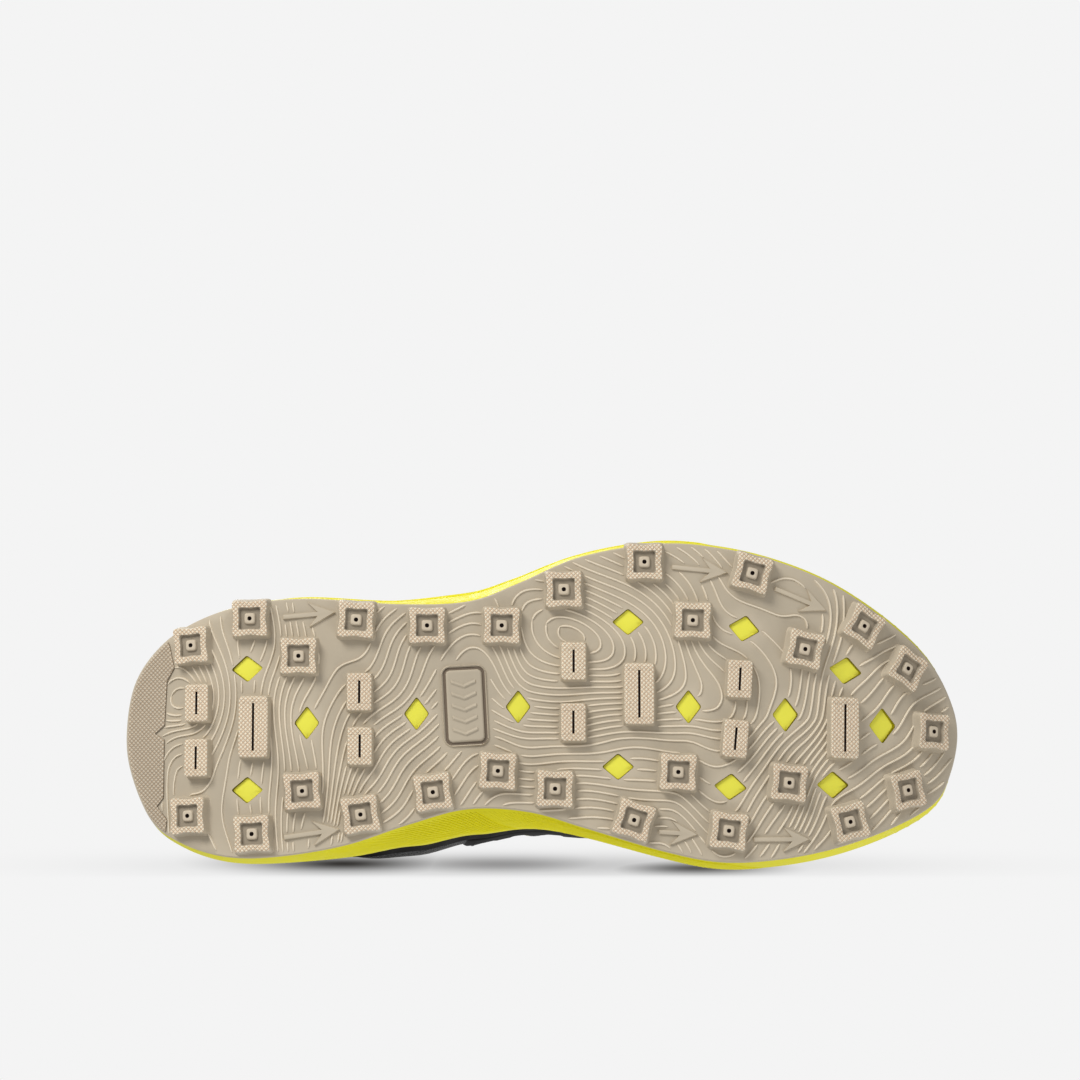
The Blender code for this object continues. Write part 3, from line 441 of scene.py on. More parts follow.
def tube(name, path, section, normals=None, uv_scale=1.0, taper=None, caps=True, **kw):
    """A section of (across, up) points swept along a path; up follows normals where given."""
    path = np.asarray(path, float)
    n = len(path)
    d = np.gradient(path, axis=0)
    d /= np.linalg.norm(d, axis=1, keepdims=True)
    if normals is None:
        side = np.cross(d[0], [0, 0, 1.0])
        ups = []
        for t in d:
            side = side - t * side.dot(t)
            side /= np.linalg.norm(side)
            ups.append(np.cross(side, t))
        ups = np.array(ups)
    else:
        ups = normals - d * (normals * d).sum(1, keepdims=True)
        ups /= np.linalg.norm(ups, axis=1, keepdims=True)
    sides = np.cross(d, ups)
    section = np.asarray(section, float)
    m = section.shape[-2]
    scale = np.ones(n) if taper is None else taper
    sec = section[None] * scale[:, None, None] if section.ndim == 2 else section
    pts = path[:, None] + sides[:, None] * sec[..., :1] + ups[:, None] * sec[..., 1:]
    i, j = np.meshgrid(np.arange(n - 1), np.arange(m), indexing="ij")
    k = (j + 1) % m
    quads = np.stack([i * m + j, i * m + k, (i + 1) * m + k, (i + 1) * m + j], -1).reshape(-1, 4)
    run = np.concatenate([[0], np.cumsum(np.linalg.norm(np.diff(path, axis=0), axis=1))])
    uv = np.stack(np.broadcast_arrays(run[:, None] * uv_scale, (np.arange(m) / m * 10)[None, :]), -1).reshape(-1, 2)
    faces, pts = [quads], pts.reshape(-1, 3)
    if caps:
        c = len(pts)
        pts = np.concatenate([pts, path[:1], path[-1:]])
        uv = np.concatenate([uv, uv[:1], uv[-1:]])
        q = np.arange(m)
        faces.append(np.stack([(q + 1) % m, q, np.full(m, c)], -1))
        faces.append(np.stack([(n - 1) * m + q, (n - 1) * m + (q + 1) % m, np.full(m, c + 1)], -1))
    return mesh_object(name, pts, faces, uv, **kw)


def joined(name, parts, **kw):
    """One mesh out of (points, [faces...], slot per group) parts."""
    pts, tri, quad, ts, qs, base = [], [], [], [], [], 0
    for p, groups in parts:
        p = np.asarray(p, float).reshape(-1, 3)
        for faces, slot in groups:
            faces = np.asarray(faces, np.int64) + base
            if faces.shape[1] == 3:
                tri.append(faces); ts.append(np.full(len(faces), slot))
            else:
                quad.append(faces); qs.append(np.full(len(faces), slot))
        pts.append(p)
        base += len(p)
    groups = ([np.concatenate(quad)] if quad else []) + ([np.concatenate(tri)] if tri else [])
    slot_of = np.concatenate(qs + ts)
    return mesh_object(name, np.concatenate(pts), groups, slot_of=slot_of, **kw)


def done(obj, body, slot, *replaced):
    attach(obj, body)
    if replaced:
        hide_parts(*replaced)
    return obj


# ---- materials ------------------------------------------------------------------
class Paint:
    """A node material being built."""

    def __init__(self, name, colour, rough, **sockets):
        self.m = bpy.data.materials.new(name)
        self.m.use_nodes = True
        self.nt = self.m.node_tree
        self.b = self.nt.nodes["Principled BSDF"]
        self.b.inputs["Base Color"].default_value = (*colour, 1)
        self.b.inputs["Roughness"].default_value = rough
        for k, v in sockets.items():
            self.b.inputs[k.replace("_", " ")].default_value = v
        self.last_bump = None

    def node(self, kind, inputs=None, **props):
        n = self.nt.nodes.new(kind)
        for k, v in props.items():
            setattr(n, k, v)
        for k, v in (inputs or {}).items():
            if hasattr(v, "is_linked") or isinstance(v, bpy.types.NodeSocket):
                self.nt.links.new(v, n.inputs[k])
            else:
                n.inputs[k].default_value = v
        return n

    def coords(self, kind="Object", scale=(1, 1, 1), turn=(0, 0, 0)):
        tc = self.node("ShaderNodeTexCoord")
        mp = self.node("ShaderNodeMapping", {"Vector": tc.outputs[kind], "Scale": scale, "Rotation": turn})
        return mp.outputs["Vector"]

    def noise(self, scale, detail=3.0, at=None, rough=0.5):
        return self.node("ShaderNodeTexNoise", {"Vector": at or self.coords(), "Scale": scale, "Detail": detail, "Roughness": rough}).outputs["Fac"]

    def voronoi(self, scale, at=None, feature="F1", out="Distance"):
        return self.node("ShaderNodeTexVoronoi", {"Vector": at or self.coords(), "Scale": scale}, feature=feature).outputs[out]

    def math(self, op, a, b=0.5, c=0.0):
        n = self.node("ShaderNodeMath", operation=op)
        for i, v in enumerate((a, b, c)):
            if isinstance(v, bpy.types.NodeSocket):
                self.nt.links.new(v, n.inputs[i])
            else:
                n.inputs[i].default_value = v
        return n.outputs[0]

    def spread(self, value, lo, hi, to_lo=0.0, to_hi=1.0):
        return self.node("ShaderNodeMapRange", {"Value": value, "From Min": lo, "From Max": hi, "To Min": to_lo, "To Max": to_hi}).outputs["Result"]

    def ramp(self, value, *stops):
        n = self.node("ShaderNodeValToRGB", {"Fac": value})
        el = n.color_ramp.elements
        while len(el) < len(stops):
            el.new(0.5)
        for e, (p, c) in zip(el, stops):
            e.position, e.color = p, (*c, 1)
        return n.outputs["Color"]

    def mix(self, fac, a, b, blend="MIX"):
        n = self.node("ShaderNodeMix", data_type="RGBA", blend_type=blend)
        for i, v in ((0, fac), (6, a), (7, b)):
            if isinstance(v, bpy.types.NodeSocket):
                self.nt.links.new(v, n.inputs[i])
            else:
                n.inputs[i].default_value = v if i == 0 else (*v, 1)
        return n.outputs[2]

    def wave(self, scale, at, direction="X", distort=0.0, profile="SIN"):
        return self.node("ShaderNodeTexWave", {"Vector": at, "Scale": scale, "Distortion": distort}, bands_direction=direction, wave_profile=profile).outputs["Fac"]

    def colour(self, c):
        self.nt.links.new(c, self.b.inputs["Base Color"])
        return self

    def roughness(self, r):
        self.nt.links.new(r, self.b.inputs["Roughness"])
        return self

    def bump(self, height, mm, strength=1.0):
        n = self.node("ShaderNodeBump", {"Height": height, "Distance": mm * MM, "Strength": strength})
        if self.last_bump is not None:
            self.nt.links.new(self.last_bump, n.inputs["Normal"])
        self.last_bump = n.outputs["Normal"]
        self.nt.links.new(self.last_bump, self.b.inputs["Normal"])
        return self

    def weave(self, pitch_mm, at=None, depth=0.12, turn=0.0):
        """Plain weave of threads pitch_mm apart: returns its height."""
        at = at or self.coords("UV", turn=(0, 0, turn))
        s = 1000 / pitch_mm
        warp = self.math("ABSOLUTE", self.math("SINE", self.math("MULTIPLY", self.split(at, 0), math.pi * s)))
        weft = self.math("ABSOLUTE", self.math("SINE", self.math("MULTIPLY", self.split(at, 1), math.pi * s)))
        cell = self.node("ShaderNodeTexChecker", {"Vector": at, "Scale": s}).outputs["Fac"]
        h = self.math("ADD", self.math("MULTIPLY", warp, cell), self.math("MULTIPLY", weft, self.math("SUBTRACT", 1.0, cell)))
        self.bump(h, depth)
        return h

    def split(self, vec, axis):
        return self.node("ShaderNodeSeparateXYZ", {"Vector": vec}).outputs[axis]


def srgb(r, g, b):
    return tuple((c / 255 / 12.92) if c / 255 <= 0.04045 else ((c / 255 + 0.055) / 1.055) ** 2.4 for c in (r, g, b))


def rubber(name, base, knurled=False):
    p = Paint(name, base, 0.62, Specular_IOR_Level=0.35)
    big, fine = p.noise(28, 4), p.noise(900, 2)
    dust = p.noise(160, 5, rough=0.65)
    c = p.ramp(big, (0.3, tuple(v * 0.93 for v in base)), (0.7, tuple(min(1, v * 1.05) for v in base)))
    edge = p.node("ShaderNodeNewGeometry").outputs["Pointiness"]
    # painted highlight on convex edges and painted shade in hollows, both keyed to the mesh's pointiness
    c = p.mix(p.spread(edge, 0.50, 0.56, 0, 0.35), c, tuple(min(1, v * 1.35) for v in base))
    c = p.mix(p.spread(edge, 0.49, 0.44, 0, 0.45), c, tuple(v * 0.62 for v in base))
    c = p.mix(p.spread(dust, 0.55, 0.75, 0, 0.18), c, tuple(min(1, v * 1.18) for v in base))
    if knurled:
        at = p.coords(turn=(0, 0, math.radians(45)))
        k = math.pi * 1000 / 1.12
        one = p.math("ABSOLUTE", p.math("SINE", p.math("MULTIPLY", p.split(at, 0), k)))
        two = p.math("ABSOLUTE", p.math("SINE", p.math("MULTIPLY", p.split(at, 1), k)))
        grain = p.math("MULTIPLY", one, two)
        # painted shade: the low gaps between the knurl's bumps turn a darker, browner rubber
        c = p.mix(p.spread(grain, 0.02, 0.4), (base[0] * 0.66, base[1] * 0.54, base[2] * 0.44), c)
        p.bump(grain, 0.3)
    p.colour(c).roughness(p.spread(dust, 0.3, 0.7, 0.52, 0.74))
    p.bump(fine, 0.035).bump(p.noise(240, 3), 0.05)
    return p.m


TAN = srgb(192, 180, 159)
YELLOW = srgb(237, 229, 24)
BLACK = (0.009, 0.009, 0.010)

M = {}
# the sheet's rubber: dust spots, plus painted edge highlight and painted hollow shade from rubber()
M["rubber"] = rubber("outsole_rubber_dust_and_painted_edge_light", TAN)
M["rubber_knurl"] = rubber("outsole_rubber_knurled", srgb(255, 235, 208), True)
M["rubber_knurl_dull"] = rubber("outsole_rubber_heel_pad", srgb(206, 193, 172), True)
# the lugs' recesses: the same rubber made darker, painted shade
M["rubber_recess"] = rubber("outsole_rubber_recess", srgb(168, 156, 137))
# the raised ribs: a lighter rubber, partly real wear polish and partly painted highlight
M["rubber_rib"] = rubber("outsole_rubber_rib", srgb(226, 213, 192))
# the plate's groove and the heel pad's edge: the rubber made darker, painted shade
M["rubber_groove"] = rubber("outsole_rubber_groove", srgb(124, 110, 94))
M["rubber_button"] = rubber("outsole_rubber_button", srgb(206, 192, 170))
# near-black brown for the lugs' pin holes, the bars' slots and the eyelets' openings: painted shade
M["rubber_dark"] = Paint("dark_hole_painted_shade", srgb(62, 44, 36), 0.7).m


def foam_paint(name, base, flecks=0.5):
    p = Paint(name, base, 0.55, Subsurface_Weight=0.06, Subsurface_Scale=0.004, Specular_IOR_Level=0.25)
    p.b.inputs["Subsurface Radius"].default_value = (1.0, 0.9, 0.3)
    beads = p.voronoi(420)
    cloud = p.noise(35, 4)
    c = p.ramp(cloud, (0.3, tuple(v * 0.95 for v in base)), (0.75, tuple(min(1, v * 1.04) for v in base)))
    edge = p.node("ShaderNodeNewGeometry").outputs["Pointiness"]
    # painted shade: the foam turns darker in creases and hollows, keyed to pointiness
    c = p.mix(p.spread(edge, 0.49, 0.43, 0, 0.4), c, tuple(v * 0.7 for v in base))
    p.colour(c).roughness(p.spread(p.noise(200, 3), 0.3, 0.7, 0.46, 0.66))
    p.bump(beads, 0.05 * flecks).bump(p.noise(1200, 2), 0.02)
    return p.m


M["foam"] = foam_paint("midsole_moulded_foam", YELLOW)
M["foam_plug"] = foam_paint("window_foam", srgb(246, 242, 84), 1.2)


def mesh_cloth(name, base, pitch=2.1, thread=0.55):
    """Engineered mesh: open cells over a fine weave."""
    p = Paint(name, base, 0.82, Sheen_Weight=0.35, Sheen_Roughness=0.5, Specular_IOR_Level=0.3)
    uv = p.coords("UV")
    weave = p.weave(thread, uv, 0.10)
    s = 1000 / pitch
    u = p.math("MULTIPLY", p.split(uv, 0), 2 * math.pi * s)
    v = p.math("MULTIPLY", p.split(uv, 1), 2 * math.pi * s * 0.58)
    cells = p.math("MULTIPLY", p.math("COSINE", u), p.math("COSINE", v))
    hole = p.spread(p.math("ABSOLUTE", cells), 0.45, 0.75, 0, 1)
    # painted highlight and shade on the weave: thread crowns lighter, the gaps darker; the open cells near-black as
    # painted shade
    tone = p.mix(p.spread(weave, 0.2, 1.0, 0, 1), tuple(c * 0.5 for c in base), tuple(c * 2.3 + 0.004 for c in base))
    tone = p.mix(p.math("MULTIPLY", hole, 0.75), tone, (0.002, 0.002, 0.002))
    haze = p.noise(22, 3)
    p.colour(p.mix(p.spread(haze, 0.45, 0.8, 0, 0.25), tone, tuple(c * 2.4 + 0.006 for c in base)))
    p.bump(hole, -0.28)
    return p.m


def cloth(name, base, pitch=0.7, sheen=0.3, depth=0.12, crown_highlight=1.8):
    p = Paint(name, base, 0.85, Sheen_Weight=sheen, Sheen_Roughness=0.5, Specular_IOR_Level=0.25)
    weave = p.weave(pitch, None, depth)
    fleck = p.noise(1400, 1)
    # painted highlight and shade on the weave: thread crowns lighter, the gaps between them darker
    c = p.mix(p.spread(weave, 0.2, 1.0), tuple(v * 0.45 for v in base), tuple(min(1, v * crown_highlight + 0.003) for v in base))
    p.colour(p.mix(p.spread(fleck, 0.5, 0.75, 0, 0.4), c, tuple(min(1, v * 2.2 + 0.01) for v in base)))
    p.bump(fleck, 0.05)
    return p.m


def film(name, base, rough=0.54, grain=0.05):
    p = Paint(name, base, rough, Specular_IOR_Level=0.13)
    g = p.voronoi(1100)
    cloud = p.noise(60, 4)
    edge = p.node("ShaderNodeNewGeometry").outputs["Pointiness"]
    c = p.ramp(cloud, (0.3, tuple(v * 0.85 for v in base)), (0.7, tuple(min(1, v * 1.3 + 0.002) for v in base)))
    p.colour(p.mix(p.spread(edge, 0.51, 0.58, 0, 0.4), c, tuple(min(1, v * 2.4 + 0.006) for v in base)))
    p.roughness(p.spread(cloud, 0.3, 0.7, rough - 0.08, rough + 0.12))
    p.bump(g, grain).bump(p.noise(2600, 1), 0.02)
    return p.m


M["mesh"] = mesh_cloth("upper_engineered_mesh", BLACK)
M["film"] = film("welded_film", (0.011, 0.0105, 0.0105), 0.6)
M["film_grey"] = film("welded_film_grey", (0.034, 0.034, 0.037), 0.58)
M["bumper"] = film("toe_bumper_rubber", (0.011, 0.011, 0.0115), 0.6, 0.12)
M["tongue"] = mesh_cloth("tongue_spacer_mesh", (0.014, 0.014, 0.016), 1.7, 0.5)
M["lining"] = cloth("collar_lining_cloth", (0.02, 0.02, 0.022), 0.9)
M["binding"] = cloth("binding_tape", (0.02, 0.02, 0.022), 0.45, 0.2)
M["insole"] = cloth("insole_top_cloth", (0.030, 0.031, 0.034), 0.8, 0.2)
M["board"] = cloth("strobel_board_felt", (0.5, 0.5, 0.47), 1.2, 0.1)
M["webbing"] = cloth("pull_tab_webbing", srgb(214, 208, 50), 0.9, 0.25, 0.2, 1.25)
M["thread"] = cloth("sewing_thread", (0.05, 0.05, 0.055), 0.35, 0.2, 0.05, 2.0)
M["thread_yellow"] = cloth("sewing_thread_yellow", srgb(220, 214, 60), 0.35, 0.2, 0.05, 1.2)
M["stiff"] = film("inner_stiffener", (0.12, 0.12, 0.12), 0.5)
M["eyelet"] = film("eyelet_ring", (0.03, 0.03, 0.032), 0.3, 0.02)
M["aglet"] = film("aglet_plastic", (0.02, 0.02, 0.02), 0.2, 0.01)
M["patch"] = film("tongue_patch_rubber", (0.05, 0.05, 0.052), 0.5)
M["seam"] = film("cemented_edge", srgb(150, 84, 38), 0.5)
M["open_foam"] = foam_paint("insole_foam_dark", (0.06, 0.06, 0.065), 3.0)


def lace_paint():
    p = Paint("woven_round_lace", (0.02, 0.02, 0.022), 0.8, Sheen_Weight=0.3, Specular_IOR_Level=0.3)
    uv = p.coords("UV")
    u, v = p.math("MULTIPLY", p.split(uv, 0), 1000.0), p.math("MULTIPLY", p.split(uv, 1), 100.0)
    a = p.math("ADD", p.math("MULTIPLY", u, 0.9), p.math("MULTIPLY", v, 6.0))
    b = p.math("SUBTRACT", p.math("MULTIPLY", u, 0.9), p.math("MULTIPLY", v, 6.0))
    s1 = p.math("ABSOLUTE", p.math("SINE", p.math("MULTIPLY", a, math.pi)))
    s2 = p.math("ABSOLUTE", p.math("SINE", p.math("MULTIPLY", b, math.pi)))
    h = p.math("MAXIMUM", s1, s2)
    p.bump(h, 0.22)
    # painted highlight and shade on the braid: yarn crowns lighter, the gaps darker
    base = p.mix(p.spread(h, 0.6, 1.0), (0.004, 0.004, 0.005), (0.045, 0.045, 0.05))
    tracer = p.spread(p.math("SINE", p.math("MULTIPLY", a, math.pi / 3)), 0.86, 0.9)
    p.colour(p.mix(p.math("MULTIPLY", tracer, p.spread(s1, 0.5, 0.8)), base, srgb(214, 208, 60)))
    return p.m


M["lace"] = lace_paint()

# ---- camera, lights and stage --------------------------------------------------
scene = bpy.context.scene
scene.view_settings.view_transform = "Standard"
TILT = math.radians(6.8)
AIM = Vector((-0.00026, -0.0586, 0.004))
FAR = 1.3043
cam = bpy.data.objects.new("photo_camera", bpy.data.cameras.new("photo_camera"))
scene.collection.objects.link(cam)
cam.data.lens, cam.data.sensor_width = 120, 36
cam.data.clip_start, cam.data.clip_end = 0.05, 20
back = Vector((0, math.sin(TILT), -math.cos(TILT)))
right = Vector((1, 0, 0))
up = back.cross(right)
turn = Matrix((right, up, back)).transposed().to_4x4()
turn.translation = AIM + back * FAR
cam.matrix_world = turn
scene.camera = cam


def softbox(name, place, aim, size, power, tint=(1, 1, 1)):
    light = bpy.data.lights.new(name, "AREA")
    light.shape, light.size, light.energy, light.color = "DISK", size, power, tint
    obj = bpy.data.objects.new(name, light)
    scene.collection.objects.link(obj)
    obj.location = place
    obj.rotation_euler = (Vector(aim) - Vector(place)).to_track_quat("-Z", "Y").to_euler()
    obj.visible_camera = False
    return obj


softbox("key_low", (-0.85, -1.15, -1.1), (0, 0, 0.02), 0.8, 21, (1, 0.985, 0.96))
softbox("fill_low", (1.0, 1.35, -0.8), (0.02, 0, 0.03), 1.0, 8)
softbox("key_high", (-0.5, -1.0, 1.35), (0, 0, 0.05), 0.8, 11, (1, 0.985, 0.96))
softbox("fill_high", (0.9, 1.1, 0.8), (0, 0, 0.05), 1.2, 6)
softbox("rim_high", (-1.2, 0.6, 0.9), (0, 0, 0.05), 0.9, 5)

world = bpy.data.worlds.new("pale_studio")
scene.world = world
world.use_nodes = True
wn = world.node_tree
wn.nodes.clear()
PALE = srgb(244, 244, 244)
seen, lit = wn.nodes.new("ShaderNodeBackground"), wn.nodes.new("ShaderNodeBackground")
seen.inputs["Color"].default_value = (*PALE, 1)
lit.inputs["Color"].default_value = (0.98, 0.98, 0.98, 1)
lit.inputs["Strength"].default_value = 0.44
rays, choose, out = wn.nodes.new("ShaderNodeLightPath"), wn.nodes.new("ShaderNodeMixShader"), wn.nodes.new("ShaderNodeOutputWorld")
wn.links.new(rays.outputs["Is Camera Ray"], choose.inputs[0])
wn.links.new(lit.outputs[0], choose.inputs[1])
wn.links.new(seen.outputs[0], choose.inputs[2])
wn.links.new(choose.outputs[0], out.inputs[0])


def stage_floor():
    """A pale floor, seen only from above, which lets the light from below through."""
    n, reach = 24, 2.4
    g = np.linspace(-reach, reach, n)
    pts = np.stack(np.meshgrid(g, g, indexing="ij") + [np.zeros((n, n))], -1) / MM + ORIGIN
    m = bpy.data.materials.new("pale_floor")
    m.use_nodes = True
    nt = m.node_tree
    b = nt.nodes["Principled BSDF"]
    b.inputs["Base Color"].default_value = (0.86, 0.86, 0.86, 1)
    b.inputs["Roughness"].default_value = 0.9
    geo, clear, pick = nt.nodes.new("ShaderNodeNewGeometry"), nt.nodes.new("ShaderNodeBsdfTransparent"), nt.nodes.new("ShaderNodeMixShader")
    reach_of, span, worst = nt.nodes.new("ShaderNodeVectorMath"), nt.nodes.new("ShaderNodeMapRange"), nt.nodes.new("ShaderNodeMath")
    reach_of.operation, worst.operation = "LENGTH", "MAXIMUM"
    nt.links.new(geo.outputs["Position"], reach_of.inputs[0])
    nt.links.new(reach_of.outputs["Value"], span.inputs["Value"])
    span.interpolation_type = "SMOOTHSTEP"
    span.inputs["From Min"].default_value, span.inputs["From Max"].default_value = 0.22, 0.85
    nt.links.new(span.outputs["Result"], worst.inputs[0])
    nt.links.new(geo.outputs["Backfacing"], worst.inputs[1])
    nt.links.new(worst.outputs[0], pick.inputs[0])
    nt.links.new(b.outputs[0], pick.inputs[1])
    nt.links.new(clear.outputs[0], pick.inputs[2])
    nt.links.new(pick.outputs[0], nt.nodes["Material Output"].inputs[0])
    floor = mesh_object("studio_floor", pts, [grid_faces(n, n)], slots=[m])
    floor.visible_shadow = floor.visible_diffuse = floor.visible_glossy = floor.visible_transmission = False


stage_floor()


def contact_shadow():
    """A card behind the sole, seen only from below: the soft shadow where the tipped shoe's medial edge rests."""
    n = 40
    gx, gy = np.linspace(-240, 240, n), np.linspace(30, 90, n)
    pts = np.stack(np.meshgrid(gx, gy, indexing="ij") + [np.full((n, n), 26.0)], -1)
    m = bpy.data.materials.new("contact_shadow_card")
    m.use_nodes = True
    nt = m.node_tree
    nt.nodes.remove(nt.nodes["Principled BSDF"])
    clear = nt.nodes.new("ShaderNodeBsdfTransparent")
    nt.links.new(clear.outputs[0], nt.nodes["Material Output"].inputs[0])

    def calc(op, *values):
        node = nt.nodes.new("ShaderNodeMath")
        node.operation = op
        for k, v in enumerate(values):
            if isinstance(v, bpy.types.NodeSocket):
                nt.links.new(v, node.inputs[k])
            else:
                node.inputs[k].default_value = v
        return node.outputs[0]

    def bell(value, centre, width):
        off = calc("DIVIDE", calc("SUBTRACT", value, centre * MM), width * MM)
        return calc("POWER", 2.718, calc("MULTIPLY", calc("MULTIPLY", off, off), -1.0))

    geo = nt.nodes.new("ShaderNodeNewGeometry")
    axes = nt.nodes.new("ShaderNodeSeparateXYZ")
    nt.links.new(geo.outputs["Position"], axes.inputs[0])
    px, py = axes.outputs[0], axes.outputs[1]
    shade = 0.0
    for cx, wx, cy, wy, depth in SHADOW_SPOTS:
        spot = calc("MULTIPLY", calc("MULTIPLY", bell(px, cx, wx), bell(py, cy, wy)), depth)
        shade = calc("MAXIMUM", shade, spot)
    shade = calc("MULTIPLY", shade, calc("SUBTRACT", 1.0, geo.outputs["Backfacing"]))
    sill = nt.nodes.new("ShaderNodeMapRange")
    nt.links.new(py, sill.inputs["Value"])
    for name, v in (("From Min", 61.6 * MM), ("From Max", 63.2 * MM), ("To Min", 1.0), ("To Max", 0.0)):
        sill.inputs[name].default_value = v
    shade = calc("MULTIPLY", shade, sill.outputs["Result"])
    tint = nt.nodes.new("ShaderNodeMix")
    tint.data_type = "RGBA"
    nt.links.new(shade, tint.inputs[0])
    tint.inputs[6].default_value, tint.inputs[7].default_value = (1, 1, 1, 1), (0.012, 0.009, 0.006, 1)
    nt.links.new(tint.outputs[2], clear.inputs[0])
    card = mesh_object("contact_shadow_card", pts, [grid_faces(n, n, flip=True)], slots=[m])
    card.visible_shadow = card.visible_diffuse = card.visible_glossy = card.visible_transmission = False


# centre and width along the shoe, centre and width across it, and how dark
SHADOW_SPOTS = [(-72, 40, 57.6, 3.4, 0.97), (-15, 45, 57.8, 3.4, 0.66), (57, 30, 59.2, 2.6, 0.9), (-5, 110, 58.2, 4.0, 0.38)]
contact_shadow()

# ---- outsole ---------------------------------------------------------------------
SQUARES = [
    (-127.5, -22.3, -4), (-105.8, -31.6, -1), (-87.9, -17.9, 0), (-67.2, -31, 3), (-41.6, -28.9, 0),
    (-14.7, -28.9, 1), (7.7, -42, -1), (36.8, -52, 0), (75.9, -48, 15), (54.2, -30.8, 2),
    (95, -20.7, 12), (117.1, -29.6, 30), (133.5, -14.7, 30), (143.2, 8.0, 3), (133, 29.6, -12),
    (111.1, 41.4, -14), (88.8, 27.6, 6), (66.8, 44.9, 7), (48.7, 23.9, 3), (32.8, 41.1, 18),
    (4.5, 29.9, 2), (-16, 23.5, 3), (-39.3, 31.1, -7), (-65.2, 39.1, -8), (-86.2, 30.7, -4),
    (-104.3, 46, -3), (-128, 39.3, -2),
]  # fmt: skip
SMALL_BARS = [(-125, -1.3, 0), (-125, 18.5, 0), (-65.9, -4.9, 0), (-65.6, 14.6, 0), (11.2, -16, 0), (11.1, 6, 0), (71.1, -9.6, 3), (69.4, 11.9, 5)]
LARGE_BARS = [(-104.1, 7.6, 0), (34.8, -4.2, 0), (109.4, 7.6, 1)]
DIAMONDS = [
    (-106.7, -13.7, -3, 11.8, 9.9), (-106.3, 30.1, 0, 11.8, 9.9), (30.9, -30.5, 0, 11.8, 9.9), (72.9, -28.2, 10, 11.8, 9.9),
    (110, -13.5, 8, 12.6, 10.4), (27.2, 21.8, 0, 11.8, 9.9), (67.6, 29, 5, 12.2, 10), (104.9, 28, 0, 12.2, 10.2),
    (-84.9, 6, 0, 9.3, 12.4), (-45.4, 2.7, 0, 9.3, 12.4), (-8.8, 0.2, 0, 9.3, 12.4), (52.6, 0.2, 0, 9.6, 12.6),
    (87.7, 2.9, 0, 9.8, 12.8), (123.6, 6.2, 0, 10.4, 13.4),
]  # fmt: skip
ARROWS = [
    (-93.7, -32.2, -75, -33.9), (-92.7, 47.2, -72.9, 44.3), (46.9, -50.4, 66.9, -48.4),
    (84.3, -42.7, 103.3, -35.2), (41.8, 45.2, 55.6, 46.1), (75.9, 47.9, 96.2, 47.7),
]  # fmt: skip
PLATE = (-28, -0.2, -3, 17.7, 30.6)
PAD_FRONT = [(-135.5, -23), (-133.6, -14.6), (-136.3, -9.6), (-137, 6.3), (-140.6, 9.2), (-137.1, 11.4), (-137.1, 32.4), (-139.5, 35.5), (-135.7, 40.4)]


def on_sole(x, y, turn, face_height):
    """put(u, v, w) of a feature on the sole: w is how far it stands out of the sheet."""
    xb = x
    for _ in range(3):
        xb = x - face_height * math.sin(math.atan(slope(xb)))
    ang = math.atan(slope(xb))
    ca, sa = math.cos(ang), math.sin(ang)
    ct, st = math.cos(math.radians(turn)), math.sin(math.radians(turn))
    base = np.array([xb, y, LUG + float(rocker(xb))])

    def put(u, v, w):
        u, v, w = np.broadcast_arrays(np.asarray(u, float), v, w)
        du, dv = u * ct - v * st, u * st + v * ct
        return base + np.stack([du * ca + w * sa, dv, du * sa - w * ca], -1)

    return put


def sole_at(x, y, w):
    """Points standing w out of the sheet's face."""
    ang = np.arctan(slope(x))
    return np.stack([x + w * np.sin(ang), y + 0 * x, LUG + rocker(x) - w * np.cos(ang)], -1)


def inside(poly, x, y):
    """Whether the points are inside the polygon."""
    px, py = np.asarray(poly).T
    qx, qy = np.roll(px, -1), np.roll(py, -1)
    hit = np.zeros(np.shape(x), bool)
    for ax, ay, bx, by in zip(px, py, qx, qy):
        cross = (ay > y) != (by > y)
        if ay != by:
            hit ^= cross & (x < (bx - ax) * (y - ay) / (by - ay) + ax)
    return hit


def local(x, y, cx, cy, turn):
    ct, st = math.cos(math.radians(turn)), math.sin(math.radians(turn))
    dx, dy = x - cx, y - cy
    return dx * ct + dy * st, -dx * st + dy * ct


def diamond_uv(w, h, trim=0.09):
    """A diamond with its corners taken off a little."""
    c = np.array([(-w / 2, 0), (0, -h / 2), (w / 2, 0), (0, h / 2)])
    out = []
    for i in range(4):
        a, b, d = c[i - 1], c[i], c[(i + 1) % 4]
        p, q = b + (a - b) * trim, b + (d - b) * trim
        out += [p, (p + q + 1.2 * b) / 3.2, q]
        out += [b + (d - b) * t for t in (0.3, 0.5, 0.7)]
    return np.array(out)


def filled(loops, grid):
    """Triangles over the first loop, less the others, with grid points between them."""
    verts, edges = [], []
    for loop in loops:
        b = len(verts)
        verts += [Vector(p) for p in loop]
        edges += [(b + i, b + (i + 1) % len(loop)) for i in range(len(loop))]
    verts += [Vector(p) for p in grid]
    v, _, f, ov, _, _ = delaunay_2d_cdt(verts, edges, [], 0, 1e-5)
    v = np.array([tuple(p) for p in v])
    f = np.array([t for t in f if len(t) == 3])
    c = v[f].mean(1)
    keep = inside(loops[0], c[:, 0], c[:, 1])
    for hole in loops[1:]:
        keep &= ~inside(hole, c[:, 0], c[:, 1])
    loop_at, first = [], {}
    for i, o in enumerate(ov):
        for k in o:
            first.setdefault(k, i)
    n = 0
    for loop in loops:
        loop_at.append(np.array([first[n + i] for i in range(len(loop))]))
        n += len(loop)
    return v, f[keep], loop_at


def edge_ring(n, inset):
    a = np.arange(n) * 2 / n
    p, nrm = outline(a)
    return p - nrm * inset


def wall_faces(loop, base_a, base_b, idx_a=None):
    """Quads between loop's points (index arrays) and the same number of points at base_b."""
    n = len(loop)
    i = np.arange(n)
    j = (i + 1) % n
    return np.stack([loop[i], loop[j], base_b + j, base_b + i], -1)


